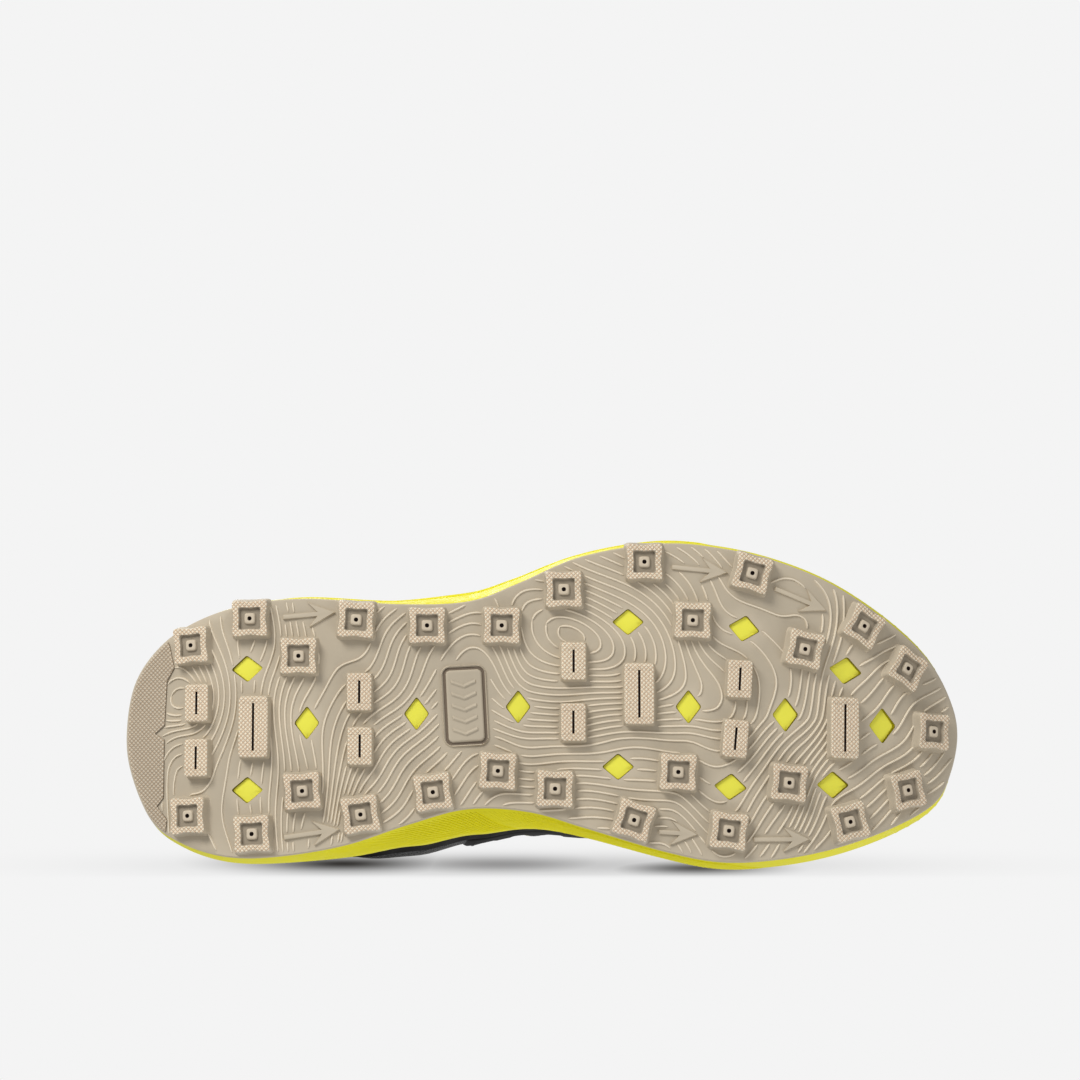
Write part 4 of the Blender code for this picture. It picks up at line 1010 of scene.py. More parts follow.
def build_sheet():
    rim = edge_ring(420, 0.5)
    holes = []
    for x, y, r, w, h in DIAMONDS:
        ct, st = math.cos(math.radians(r)), math.sin(math.radians(r))
        uv = diamond_uv(w, h)
        holes.append(np.stack([x + uv[:, 0] * ct - uv[:, 1] * st, y + uv[:, 0] * st + uv[:, 1] * ct], -1))
    gx, gy = np.meshgrid(np.arange(-149, 150, 2.6), np.arange(-62, 60, 2.6), indexing="ij")
    gx = gx + 1.3 * (np.arange(gx.shape[1]) % 2)[None, :]
    gx, gy = gx.ravel(), gy.ravel()
    keep = inside(edge_ring(120, 1.6), gx, gy)
    for h in holes:
        mid_h = h.mean(0)
        keep &= ~inside(mid_h + (h - mid_h) * 1.25, gx, gy)
    v, f, at = filled([rim] + holes, np.stack([gx[keep], gy[keep]], -1))
    n = len(v)
    face = np.column_stack([v, LUG + rocker(v[:, 0])])
    back = np.column_stack([v, LUG + SHEET + rocker(v[:, 0])])
    full = edge_ring(420, 0.0)
    low = np.column_stack([full, LUG + 0.45 + rocker(full[:, 0])])
    high = np.column_stack([full, LUG + SHEET - 0.3 + rocker(full[:, 0])])
    pts = np.concatenate([face, back, low, high])
    i = np.arange(420)
    j = (i + 1) % 420
    a, b = 2 * n, 2 * n + 420
    quads = [np.stack([at[0][i], at[0][j], a + j, a + i], -1), np.stack([a + i, a + j, b + j, b + i], -1), np.stack([b + i, b + j, n + at[0][j], n + at[0][i]], -1)]
    for loop in at[1:]:
        i = np.arange(len(loop))
        j = (i + 1) % len(loop)
        quads.append(np.stack([loop[i], loop[j], n + loop[j], n + loop[i]], -1))
    obj = mesh_object("outsole_sheet", pts, [np.concatenate(quads), np.concatenate([f, f[:, ::-1] + n])], sharp=40, slots=[M["rubber"]])
    tidy(obj)
    obj.data.set_sharp_from_angle(angle=math.radians(40))
    done(obj, "shoe", "outsole_rubber", "outsole")
    plugs = []
    for (x, y, r, w, h) in DIAMONDS:
        put = on_sole(x, y, r, 0)
        uv = diamond_uv(w - 0.45, h - 0.45)
        c = np.array([[0, 0]])
        m = len(uv)
        rings = [put(uv[:, 0], uv[:, 1], -2.25), put(uv[:, 0], uv[:, 1], -1.25), put(uv[:, 0] * 0.94, uv[:, 1] * 0.94, -1.0), put(uv[:, 0] * 0.5, uv[:, 1] * 0.5, -0.92)]
        p = np.stack(rings, 1).reshape(-1, 3)
        p = np.concatenate([p, put(0, 0, -0.9)[None], put(0, 0, -2.25)[None]])
        k = np.arange(m)
        k2 = (k + 1) % m
        tri = np.concatenate([np.stack([k * 4 + 3, k2 * 4 + 3, np.full(m, 4 * m)], -1), np.stack([k2 * 4, k * 4, np.full(m, 4 * m + 1)], -1)])
        plugs.append((p, [(grid_faces(m, 4, wrap=True), 0), (tri, 0)]))
    obj = joined("window_foam_plugs", plugs, slots=[M["foam_plug"]], sharp=40)
    tidy(obj)
    done(obj, "shoe", "midsole_foam")


def square_lug(put, n=84):
    th = (np.arange(n) + 0.5) * 2 * np.pi / n
    c, s = np.cos(th), np.sin(th)
    levels = [(7.5, 0.03, 10, -0.7, 0), (7.3, 0.04, 10, -0.05, 0), (6.95, 0.05, 11, 0.6, 0), (6.68, 0.07, 12, 2.2, 0), (6.55, 0.085, 14, 3.6, 0), (6.48, 0.088, 14, 3.86, 0)]
    rim_in, rim_out, rows = 4.15, 6.34, 5
    for i in range(rows):
        q = i / (rows - 1)
        levels.append((rim_out + (rim_in - rim_out) * q, 0.09 - 0.035 * q, 14, 4.0, 1))
    levels += [(3.98, 0.055, 12, 3.88, 0), (3.82, 0.055, 12, 2.9, 0), (3.66, 0.05, 12, 2.62, 0), (2.9, 0.04, 7, 2.6, 0), (2.2, 0, 5, 2.6, 0), (2.05, 0, 4.4, 2.72, 0), (1.95, 0, 4.2, 3.25, 0), (1.72, 0, 4, 3.6, 0), (1.3, 0, 3.5, 3.68, 0), (0.78, 0, 2.2, 3.62, 0), (0.68, 0, 2, 3.4, 0), (0.64, 0, 2, 2.2, 0)]
    cols = []
    for row, (h, k, e, w, knurl) in enumerate(levels):
        q = (np.abs(c) ** e + np.abs(s) ** e) ** (-1 / e) * (1 - k * np.cos(2 * th) ** 2)
        ww = w + knurl * 0.12 * (-1.0) ** (np.arange(n) + row)
        cols.append(put(h * q * c, h * q * s, ww))
    p = np.stack(cols, 1)
    r = len(levels)
    faces = grid_faces(n, r, wrap=True)
    kind = np.zeros(r - 1, int)
    kind[5 : 5 + rows] = 2
    # the recess takes the darker, painted-shade recess rubber
    kind[5 + rows : 11 + rows] = 3
    kind[11 + rows :] = 4
    # the pin hole takes the near-black painted-shade hole colour
    kind[-2:] = 1
    kind = np.tile(kind, n)
    i = np.arange(n)
    tri = np.stack([i * r + r - 1, (i + 1) % n * r + r - 1, np.full(n, n * r)], -1)
    low = np.stack([(i + 1) % n * r, i * r, np.full(n, n * r + 1)], -1)
    pts = np.concatenate([p.reshape(-1, 3), put(0, 0, 2.1)[None], put(0, 0, -0.7)[None]])
    return pts, [(faces[kind == q], q) for q in range(5)] + [(tri, 1), (low, 0)]


def bar_lug(put, w, h, cut, step=0.58):
    """A knurled bar with a narrow groove along its middle, its faces painted dark as shade."""
    def spots(half, stop):
        outer = np.arange(stop + 0.3, half - 0.3, step)
        side = np.concatenate([[0, stop - 0.08, stop], outer, [half - 0.22, half]])
        return np.concatenate([-side[:0:-1], side])

    us, vs = spots(w / 2 * 0.95, 0.42), spots(h / 2 * 0.95, cut / 2)
    a, b = len(us), len(vs)
    U, V = np.meshgrid(us, vs, indexing="ij")
    i, j = np.meshgrid(np.arange(a), np.arange(b), indexing="ij")
    W = LUG + 0.12 * (-1.0) ** (i + j)
    ring1 = (i == 0) | (i == a - 1) | (j == 0) | (j == b - 1)
    ring2 = (i == 1) | (i == a - 2) | (j == 1) | (j == b - 2)
    W = np.where(ring1, LUG - 0.28, np.where(ring2, LUG - 0.02, W))
    near = (np.abs(U) <= 0.43) & (np.abs(V) <= cut / 2 + 0.01)
    W = np.where(near, LUG - 0.12, W)
    W = np.where((np.abs(U) <= 0.36) & (np.abs(V) <= cut / 2 - 0.05), LUG - 1.5, W)
    round_off = 1 - 0.05 * (np.abs(U) / us[-1]) ** 10 * (np.abs(V) / vs[-1]) ** 10
    U, V = U * round_off, V * round_off
    top = put(U, V, W)
    loop = np.concatenate([np.arange(a) * b, (a - 1) * b + np.arange(1, b), np.arange(a - 2, -1, -1) * b + b - 1, np.arange(b - 2, 0, -1)])
    lu, lv = U.ravel()[loop], V.ravel()[loop]
    n, m = len(loop), a * b
    pts = [top.reshape(-1, 3), put(lu * (1 + 0.3 / w), lv * (1 + 0.3 / h), 2.0), put(lu * (1 + 0.9 / w), lv * (1 + 0.9 / h), 0.4), put(lu * (1 + 1.9 / w), lv * (1 + 1.9 / h), -0.7)]
    k = np.arange(n)
    k2 = (k + 1) % n
    walls = [np.stack([loop[k], loop[k2], m + k2, m + k], -1)] + [np.stack([m + q * n + k, m + q * n + k2, m + (q + 1) * n + k2, m + (q + 1) * n + k], -1) for q in (0, 1)]
    base = np.stack([m + 2 * n + k, m + 2 * n + k2, np.full(n, m + 3 * n)], -1)
    pts.append(put(0, 0, -0.7)[None])
    faces = grid_faces(a, b, flip=True)
    # the slot's faces take the near-black painted-shade hole colour
    cell = W[:-1, :-1] < LUG - 1
    cell |= (W[1:, :-1] < LUG - 1) | (W[:-1, 1:] < LUG - 1) | (W[1:, 1:] < LUG - 1)
    dark = cell.ravel()
    return np.concatenate(pts), [(faces[~dark], 2), (faces[dark], 1), (np.concatenate(walls), 0), (base, 0)]


def build_lugs():
    parts = [square_lug(on_sole(x, y, r, LUG)) for x, y, r in SQUARES]
    obj = joined("outsole_square_lugs", parts, slots=[M["rubber"], M["rubber_dark"], M["rubber_knurl"], M["rubber_recess"], M["rubber_button"]])
    tidy(obj, 0.0005)
    obj.data.set_sharp_from_angle(angle=math.radians(50))
    done(obj, "shoe", "outsole_rubber")
    parts = [bar_lug(on_sole(x, y, r, LUG), 9.2, 14, 8.2) for x, y, r in SMALL_BARS]
    parts += [bar_lug(on_sole(x, y, r, LUG), 11.2, 23, 17.2) for x, y, r in LARGE_BARS]
    obj = joined("outsole_bar_lugs", parts, slots=[M["rubber"], M["rubber_dark"], M["rubber_knurl"]])
    tidy(obj, 0.0005)
    obj.data.set_sharp_from_angle(angle=math.radians(50))
    done(obj, "shoe", "outsole_rubber")


def contour_field(x, y):
    """Height of an imaginary hillside whose contour lines are the sheet's raised ribs."""
    def hill(cx, cy, sx, sy, turn, height):
        u, v = local(x, y, cx, cy, turn)
        return height * np.exp(-0.5 * ((u / sx) ** 2 + (v / sy) ** 2))

    def rise(v, lo, hi):
        t = np.clip((v - lo) / (hi - lo), 0, 1)
        return t * t * (3 - 2 * t)

    u, v = local(x, y, 9, -26, 27)
    ridge = np.hypot(0.78 * u, np.where(v < 0, 1.45, 0.95) * v)
    apron = 1.85 * np.minimum(y + 21, 33) + 1.2 * np.clip(y - 12, 0, None)
    f = -4 * np.logaddexp(ridge / 4, apron / 4)
    fore, toe = rise(x + 0.25 * y, 54, 84), rise(x + 0.3 * y, 98, 116)
    f = f * (1 - fore) + fore * (-1.0 * (x - 52) - 36 - 0.7 * np.clip(y - 4, 0, None))
    f = f * (1 - toe) + toe * (-0.62 * (x - 52) - 0.74 * y - 62)
    f = f + hill(99, -26, 19, 8, -68, 10) - hill(60, -24, 8, 12, 20, 6)
    back = rise(-x, 4, 34)
    f = f * (1 - back) + back * (-0.8 * (x + 23) - 0.78 * y * (1 - rise(-x, 62, 84)) - 56)
    heel = np.hypot(x + 127, 0.9 * (y + 4))
    f = f + 0.95 * np.clip(25 - heel, 0, None) ** 1.5 / 25**0.5 - 8 * np.tanh((x + 94) / 7)
    f = f - 8 * np.tanh((y - 5) / 5) * np.exp(-(((x + 132) / 8) ** 2))
    f = f + hill(-84, -16, 9, 14, -30, 6) - hill(-40, -24, 9, 9, 30, 6)
    f = f + 1.5 * np.sin(x / 10.5 + y / 13 + 0.7) + 1.3 * np.sin(y / 7.2 - x / 19) + 0.6 * np.sin(x / 4.6 - y / 6.3)
    return f


def contour_lines(step=3.9):
    """Polylines of the field's level lines, on a 1.1 mm grid."""
    xs, ys = np.arange(-152, 153, 1.1), np.arange(-64, 62, 1.1)
    F = contour_field(*np.meshgrid(xs, ys, indexing="ij"))
    nx, ny = F.shape
    lines = []
    for level in np.arange(math.floor(F.min() / step) * step, F.max(), step) + 0.0137:
        d = F - level
        hx = (d[:-1] > 0) != (d[1:] > 0)
        vx = (d[:, :-1] > 0) != (d[:, 1:] > 0)
        links = {}

        def join(p, q):
            links.setdefault(p, []).append(q)
            links.setdefault(q, []).append(p)

        cells = np.argwhere(hx[:, :-1] | hx[:, 1:] | vx[:-1] | vx[1:])
        for i, j in cells:
            e = [k for k, on in ((("h", i, j), hx[i, j]), (("v", i, j), vx[i, j]), (("h", i, j + 1), hx[i, j + 1]), (("v", i + 1, j), vx[i + 1, j])) if on]
            if len(e) >= 2:
                join(e[0], e[1])
            if len(e) == 4:
                join(e[2], e[3])

        def spot(k):
            kind, i, j = k
            if kind == "h":
                t = d[i, j] / (d[i, j] - d[i + 1, j])
                return xs[i] + t * (xs[1] - xs[0]), ys[j]
            t = d[i, j] / (d[i, j] - d[i, j + 1])
            return xs[i], ys[j] + t * (ys[1] - ys[0])

        left = set(links)
        starts = [k for k in links if len(links[k]) == 1] + list(links)
        for k in starts:
            if k not in left:
                continue
            walk = [k]
            left.discard(k)
            while True:
                nxt = [q for q in links[walk[-1]] if q in left]
                if not nxt:
                    break
                walk.append(nxt[0])
                left.discard(nxt[0])
            closed = len(walk) > 4 and walk[0] in links[walk[-1]]
            if len(walk) > 3:
                p = np.array([spot(q) for q in walk])
                if closed:
                    p = np.concatenate([p, p[:1]])
                lines.append(p)
    return lines


def blocked(x, y):
    """Where the sheet is covered by something else than its ribs."""
    bad = ~inside(edge_ring(160, 1.0), x, y)
    for cx, cy, r in SQUARES:
        u, v = local(x, y, cx, cy, r)
        bad |= (np.abs(u) < 7.0) & (np.abs(v) < 7.0)
    for group, w, h in ((SMALL_BARS, 4.7, 7.1), (LARGE_BARS, 5.7, 11.6)):
        for cx, cy, r in group:
            u, v = local(x, y, cx, cy, r)
            bad |= (np.abs(u) < w) & (np.abs(v) < h)
    for cx, cy, r, w, h in DIAMONDS:
        u, v = local(x, y, cx, cy, r)
        bad |= np.abs(u) / (w / 2) + np.abs(v) / (h / 2) < 1.16
    u, v = local(x, y, *PLATE[:3])
    bad |= (np.abs(u) < PLATE[3] / 2 + 0.6) & (np.abs(v) < PLATE[4] / 2 + 0.6)
    for x0, y0, x1, y1 in ARROWS:
        u, v = local(x, y, (x0 + x1) / 2, (y0 + y1) / 2, math.degrees(math.atan2(y1 - y0, x1 - x0)))
        h = math.hypot(x1 - x0, y1 - y0) / 2
        bad |= (np.abs(u) < h + 0.4) & (np.abs(v) < np.where(u > h - 10.2, 4.8 * np.clip((h + 1.2 - u) / 10.8, 0.1, 1), 1.4))
    bad |= (x < -132.6) & inside(PAD_FRONT + [(-160, 50), (-160, -40)], x, y)
    return bad


def sweep(path, ups, section, taper):
    """Points and faces of a closed section swept along a path."""
    d = np.gradient(path, axis=0)
    d /= np.maximum(np.linalg.norm(d, axis=1, keepdims=True), 1e-9)
    side = np.cross(d, ups)
    side /= np.maximum(np.linalg.norm(side, axis=1, keepdims=True), 1e-9)
    s = np.asarray(section, float)
    n, m = len(path), len(s)
    pts = path[:, None] + side[:, None] * s[None, :, :1] * taper[:, None, None] + ups[:, None] * (s[None, :, 1:] * taper[:, None, None])
    i, j = np.meshgrid(np.arange(n - 1), np.arange(m), indexing="ij")
    k = (j + 1) % m
    quads = np.stack([i * m + j, i * m + k, (i + 1) * m + k, (i + 1) * m + j], -1).reshape(-1, 4)
    caps = np.array([[3, 2, 1, 0], [(n - 1) * m + q for q in range(4)]]) if m == 4 else None
    return pts.reshape(-1, 3), np.concatenate([quads, caps]) if caps is not None else quads


def even(p, step):
    """The polyline at even steps, lightly smoothed."""
    for _ in range(3):
        q = p.copy()
        q[1:-1] = (p[:-2] + 2 * p[1:-1] + p[2:]) / 4
        p = q
    run = np.concatenate([[0], np.cumsum(np.linalg.norm(np.diff(p, axis=0), axis=1))])
    n = max(2, int(run[-1] / step) + 1)
    t = np.linspace(0, run[-1], n)
    return np.stack([np.interp(t, run, p[:, k]) for k in range(p.shape[1])], -1)


RIB = [(-0.38, -0.15), (-0.19, 0.56), (0.19, 0.56), (0.38, -0.15)]


def build_ribs():
    parts = []
    for line in contour_lines():
        p = even(line, 1.15)
        free = ~blocked(p[:, 0], p[:, 1])
        i = 0
        while i < len(p):
            if not free[i]:
                i += 1
                continue
            j = i
            while j < len(p) and free[j]:
                j += 1
            if j - i >= 4:
                run = p[i:j]
                path = sole_at(run[:, 0], run[:, 1], 0 * run[:, 0])
                ups = sole_at(run[:, 0], run[:, 1], 0 * run[:, 0] + 1) - path
                taper = np.ones(len(run))
                taper[[0, -1]] = 0.45
                pts, quads = sweep(path, ups, RIB, taper)
                parts.append((pts, [(quads, 0)]))
            i = j
    obj = joined("outsole_contour_ribs", parts, slots=[M["rubber_rib"]])
    tidy(obj, 0.0005)
    obj.data.set_sharp_from_angle(angle=math.radians(70))
    done(obj, "shoe", "outsole_rubber")


def arrow_uv(length):
    h = length / 2
    return np.array([(-h, -0.75), (h - 6.4, -0.75), (h - 9.6, -4.4), (h, 0), (h - 9.6, 4.4), (h - 6.4, 0.75), (-h, 0.75)])


def build_marks():
    parts = []
    for x0, y0, x1, y1 in ARROWS:
        put = on_sole((x0 + x1) / 2, (y0 + y1) / 2, math.degrees(math.atan2(y1 - y0, x1 - x0)), 0.8)
        uv = arrow_uv(math.hypot(x1 - x0, y1 - y0))
        v, f, at = filled([uv], np.zeros((0, 2)))
        n = len(v)
        mid_uv = v.mean(0)
        inner = v * 0.0
        nxt, prv = np.roll(uv, -1, 0) - uv, uv - np.roll(uv, 1, 0)
        for k in range(len(uv)):
            a, b = prv[k] / np.linalg.norm(prv[k]), nxt[k] / np.linalg.norm(nxt[k])
            na, nb = np.array([-a[1], a[0]]), np.array([-b[1], b[0]])
            q = na + nb
            inner[at[0][k]] = uv[k] + q / max(q.dot(q), 0.4) * 2 * 0.2
        top = put(inner[:, 0], inner[:, 1], 0.85)
        mid_r = put(uv[:, 0], uv[:, 1], 0.68)
        low = put(uv[:, 0] * 1.02, uv[:, 1] * 1.05, -0.3)
        k = np.arange(len(uv))
        k2 = (k + 1) % len(uv)
        q1 = np.stack([at[0][k], at[0][k2], n + k2, n + k], -1)
        q2 = np.stack([n + k, n + k2, n + len(uv) + k2, n + len(uv) + k], -1)
        bottom = f[:, ::-1]
        order = np.zeros(n, int)
        order[at[0]] = np.arange(len(uv))
        parts.append((np.concatenate([top, mid_r, low]), [(f, 0), (q1, 0), (q2, 0), (order[bottom] + n + len(uv), 0)]))
    # the plate: a raised frame, a groove inside it, and a plain motif of ridges
    x, y, r, w, h = PLATE
    put = on_sole(x, y, r, 0.8)
    us, vs = np.linspace(-w / 2 + 0.6, w / 2 - 0.6, 61), np.linspace(-h / 2 + 0.6, h / 2 - 0.6, 113)
    U, V = np.meshgrid(us, vs, indexing="ij")
    hu, hv, rad = us[-1], vs[-1], 3.4
    qx, qy = np.abs(U) - (hu - rad), np.abs(V) - (hv - rad)
    depth = -(np.hypot(np.clip(qx, 0, None), np.clip(qy, 0, None)) + np.minimum(np.maximum(qx, qy), 0) - rad)
    W = 0.85 - 0.9 * np.clip(1 - depth / 0.35, 0, 1) ** 2
    W -= 0.8 * np.exp(-(((depth - 1.15) / 0.62) ** 4))
    W += 0.2 * np.clip((depth - 1.6) / 0.9, 0, 1)
    inner = np.clip((depth - 2.6) / 0.4, 0, 1)
    for k in range(5):
        c = -8.6 + 4.3 * k
        chevron = V - c - 1.7 * (1 - np.abs(U) / 4.2)
        W += 0.55 * inner * np.exp(-((chevron / 0.6) ** 4)) * (np.abs(U) < 4.4)
    W = np.where(depth < 0, -0.3, W)
    a, b = U.shape
    top = put(U, V, W)
    loop = np.concatenate([np.arange(a) * b, (a - 1) * b + np.arange(1, b), np.arange(a - 2, -1, -1) * b + b - 1, np.arange(b - 2, 0, -1)])
    n, m = len(loop), a * b
    k = np.arange(n)
    lay = grid_faces(a, b, flip=True)
    # the groove's faces take the darker, painted-shade groove rubber
    near_groove = (np.abs(depth - 1.15) < 0.6)[:-1, :-1].ravel()
    parts.append((np.concatenate([top.reshape(-1, 3), put(U.ravel()[loop], V.ravel()[loop], -0.5), put(0, 0, -0.5)[None]]), [(lay[~near_groove], 0), (lay[near_groove], 1), (np.stack([loop[k], loop[(k + 1) % n], m + (k + 1) % n, m + k], -1), 0), (np.stack([m + k, m + (k + 1) % n, np.full(n, m + n)], -1), 0)]))
    obj = joined("outsole_arrows_and_plate", parts, slots=[M["rubber"], M["rubber_groove"]])
    tidy(obj, 0.0005)
    obj.data.set_sharp_from_angle(angle=math.radians(45))
    done(obj, "shoe", "outsole_rubber")


def build_pad():
    a = np.linspace(-0.22, 0.22, 160)[::-1]
    p, nrm = outline(a)
    arc = (p - nrm * 0.9)
    arc = arc[arc[:, 0] < -136]
    if arc[0, 1] < arc[-1, 1]:
        arc = arc[::-1]
    front = np.array(PAD_FRONT, float)
    front = np.concatenate([front[k] + (front[k + 1] - front[k]) * np.linspace(0, 1, max(2, int(np.hypot(*(front[k + 1] - front[k])) / 0.8)), endpoint=False)[:, None] for k in range(len(front) - 1)] + [front[-1:]])
    loop = np.concatenate([front, arc])
    gx, gy = np.meshgrid(np.arange(-150, -130, 0.56), np.arange(-36, 52, 0.56), indexing="ij")
    i, j = np.meshgrid(np.arange(gx.shape[0]), np.arange(gx.shape[1]), indexing="ij")
    hgt = (0.72 + 0.08 * (-1.0) ** (i + j)).ravel()
    c = loop.mean(0)
    shrunk = c + (loop - c) * [0.93, 0.985]
    keep = inside(shrunk, gx.ravel(), gy.ravel())
    g = np.stack([gx.ravel()[keep], gy.ravel()[keep]], -1)
    v, f, at = filled([loop], g)
    tree = {(round(q[0], 4), round(q[1], 4)): z for q, z in zip(g, hgt[keep])}
    w = np.array([tree.get((round(q[0], 4), round(q[1], 4)), 0.55) for q in v])
    top = sole_at(v[:, 0], v[:, 1], w)
    low = sole_at(loop[:, 0], loop[:, 1], 0 * loop[:, 0] - 0.3)
    n, m = len(v), len(loop)
    k = np.arange(m)
    quads = np.stack([at[0][k], at[0][(k + 1) % m], n + (k + 1) % m, n + k], -1)
    mid_p = sole_at(c[:1], c[1:], np.array([-0.3]))
    tri = np.stack([n + k, n + (k + 1) % m, np.full(m, n + m)], -1)
    # the pad's edge wall and underside take the darker, painted-shade groove rubber
    obj = joined("outsole_heel_pad", [(np.concatenate([top, low, mid_p]), [(f, 0), (quads, 1), (tri, 1)])], slots=[M["rubber_knurl_dull"], M["rubber_groove"]])
    tidy(obj, 0.0005)
    obj.data.set_sharp_from_angle(angle=math.radians(60))
    done(obj, "shoe", "outsole_rubber")


build_sheet()
build_lugs()
build_ribs()
build_marks()
build_pad()

# ---- midsole -----------------------------------------------------------------------
WALL_S = np.concatenate([np.linspace(0, 0.28, 5), np.linspace(0.30, 0.5, 6), np.linspace(0.52, 0.72, 15), np.linspace(0.75, 0.97, 8), [1.0]])
NODES = np.array([0.28, 0.48, 0.8, 1.0])


def wall(a, s):
    """Midsole wall: s 0 at the outsole, 1 at the lip's outer edge."""
    a, s = np.broadcast_arrays(np.asarray(a, float), np.asarray(s, float))
    p, n = outline(a)
    x = p[..., 0]
    f = flare(a, x)
    zb, zt = LUG + SHEET + BOND + rocker(x), wall_top(a, x)
    knots = np.stack([0.7 * f, f, f - 0.7, f - 2.2], -1)
    slopes = np.diff(knots, axis=-1) / np.diff(NODES)
    m = np.concatenate([slopes[..., :1], (slopes[..., 1:] + slopes[..., :-1]) / 2, slopes[..., -1:]], -1)
    i = np.clip(np.searchsorted(NODES, s, side="right") - 1, 0, 2)
    take = lambda arr, k: np.take_along_axis(arr, k[..., None], -1)[..., 0]
    h = NODES[i + 1] - NODES[i]
    u = np.clip((s - NODES[i]) / h, 0, 1)
    y0, y1, m0, m1 = take(knots, i), take(knots, i + 1), take(m, i), take(m, i + 1)
    off = y0 * (1 + 2 * u) * (1 - u) ** 2 + y1 * u * u * (3 - 2 * u) + m0 * h * u * (1 - u) ** 2 - m1 * h * u * u * (1 - u)
    off = np.where(s < 0.28, s / 0.28 * 0.7 * f, off)
    # one moulded groove runs round the heel and the sides, and fades before the toe
    t = np.where(np.mod(a, 2) <= 1, np.mod(a, 2), 2 - np.mod(a, 2))
    centre = 0.62 + 0.04 * np.sin(t * 7)
    fade = np.clip((0.9 - t) / 0.12, 0, 1)
    off = off - 0.75 * fade * np.exp(-(((s - centre) / 0.028) ** 2))
    return np.concatenate([p + n * off[..., None], (zb + s * (zt - zb))[..., None]], -1)


def wall_normal(a, s):
    d = 2e-3
    n = np.cross(wall(a + d, s) - wall(a - d, s), wall(a, np.clip(s + d, 0, 1)) - wall(a, np.clip(s - d, 0, 1)))
    return n / np.maximum(np.linalg.norm(n, axis=-1, keepdims=True), 1e-9)


def build_midsole():
    m = 560
    a = np.arange(m) * 2 / m
    p, n = outline(a)
    x = p[:, 0]
    f = flare(a, x)
    zb, zt = LUG + SHEET + BOND + rocker(x), wall_top(a, x)

    def loop(off, z):
        return np.concatenate([p + n * np.reshape(off + 0 * x, (-1, 1)), np.reshape(z, (-1, 1))], 1)

    rings = [loop(-1.0, zb)] + [wall(a, np.full(m, s)) for s in WALL_S]
    rings[1] = loop(-0.35, zb)
    rings.insert(2, loop(0.0, zb + 0.3))
    rings += [loop(f - 2.45, zt + 0.22), loop(f - 2.9, zt + 0.34), loop(f - 3.6, zt + 0.38), loop(f - 4.4, zt + 0.26), loop(f - 5.0, zt - 0.02), loop(f - 5.2, zt - 0.5), loop(f - 5.2, (zt + FOOTBED(x)) / 2), loop(f - 5.2, FOOTBED(x))]
    r = len(rings)
    pts = np.stack(rings, 1).reshape(-1, 3)
    faces = [grid_faces(m, r, wrap=True)]
    i = np.arange(m // 2)
    j1, j2 = i + 1, (m - i - 1) % m
    i2 = (m - i) % m
    low = np.stack([i, i2, j2, j1], -1) * r
    high = low[:, ::-1] + r - 1
    quads = np.concatenate([low[1:-1], high[1:-1]])
    tris = np.array([[low[0][0], low[0][2], low[0][3]], [low[-1][0], low[-1][1], low[-1][3]], [high[0][3], high[0][1], high[0][0]], [high[-1][3], high[-1][2], high[-1][0]]])
    obj = mesh_object("midsole_shell", pts, [np.concatenate(faces + [quads]), tris], sharp=38, slots=[M["foam"]])
    tidy(obj)
    obj.data.set_sharp_from_angle(angle=math.radians(38))
    done(obj, "shoe", "midsole_foam", "midsole")

    # fine moulded lines on the wall: fans on the arch, short strakes round the forefoot and the heel
    parts = []

    def line(a0, a1, s0, s1, width=0.34, height=0.3):
        k = max(8, int(abs(a1 - a0) * 420))
        t = np.linspace(0, 1, k)
        aa, ss = a0 + (a1 - a0) * t, s0 + (s1 - s0) * t
        path, ups = wall(aa, ss), wall_normal(aa, ss)
        taper = 0.25 + 0.75 * np.clip(np.minimum(t, 1 - t) * 6, 0, 1)
        sec = [(-width, -0.2), (-width * 0.45, height), (width * 0.45, height), (width, -0.2)]
        pts, quads = sweep(path, ups, sec, taper)
        parts.append((pts, [(quads, 0)]))

    for k in range(96):
        c = 1.36 + k * 0.0037
        line(c, c - 0.034, 0.05, 0.47, 0.26, 0.5 * math.sin(math.pi * min(1, (k + 8) / 60)) ** 0.5 if k < 52 else 0.5 * (96 - k) / 44)
    for k in range(34):
        c = 1.37 + k * 0.0092
        line(c + 0.012, c + 0.055, 0.70, 0.93)
    for k in range(34):
        c = 0.63 - k * 0.0092
        line(c, c - 0.05, 0.33, 0.55)
    for k in range(22):
        c = 0.80 + k * 0.018
        line(c, c + 0.012, 0.4, 0.8, 0.4, 0.12)
    for k in range(26):
        c = -0.24 + k * 0.0185
        line(c, c + 0.016, 0.72, 0.92, 0.4, 0.3)
    obj = joined("midsole_moulded_lines", parts, slots=[M["foam"]])
    tidy(obj, 0.0005)
    done(obj, "shoe", "midsole_foam")

    a = np.arange(481) * 2 / 480
    p, n = outline(a)
    x = p[:, 0]
    path = np.concatenate([p + n * (flare(a, x) - 5.25)[:, None], (wall_top(a, x) + 0.42)[:, None]], 1)
    up_n = skin_normal(a, np.full(a.shape, 0.02))
    pts, quads = sweep(path, up_n, [(-0.75, -0.35), (-0.6, 0.35), (0.6, 0.35), (0.75, -0.35)], np.ones(len(a)))
    obj = joined("cement_line", [(pts, [(quads[:-2], 0)])], slots=[M["seam"]])
    tidy(obj, 0.004)
    done(obj, "shoe", "film")


build_midsole()

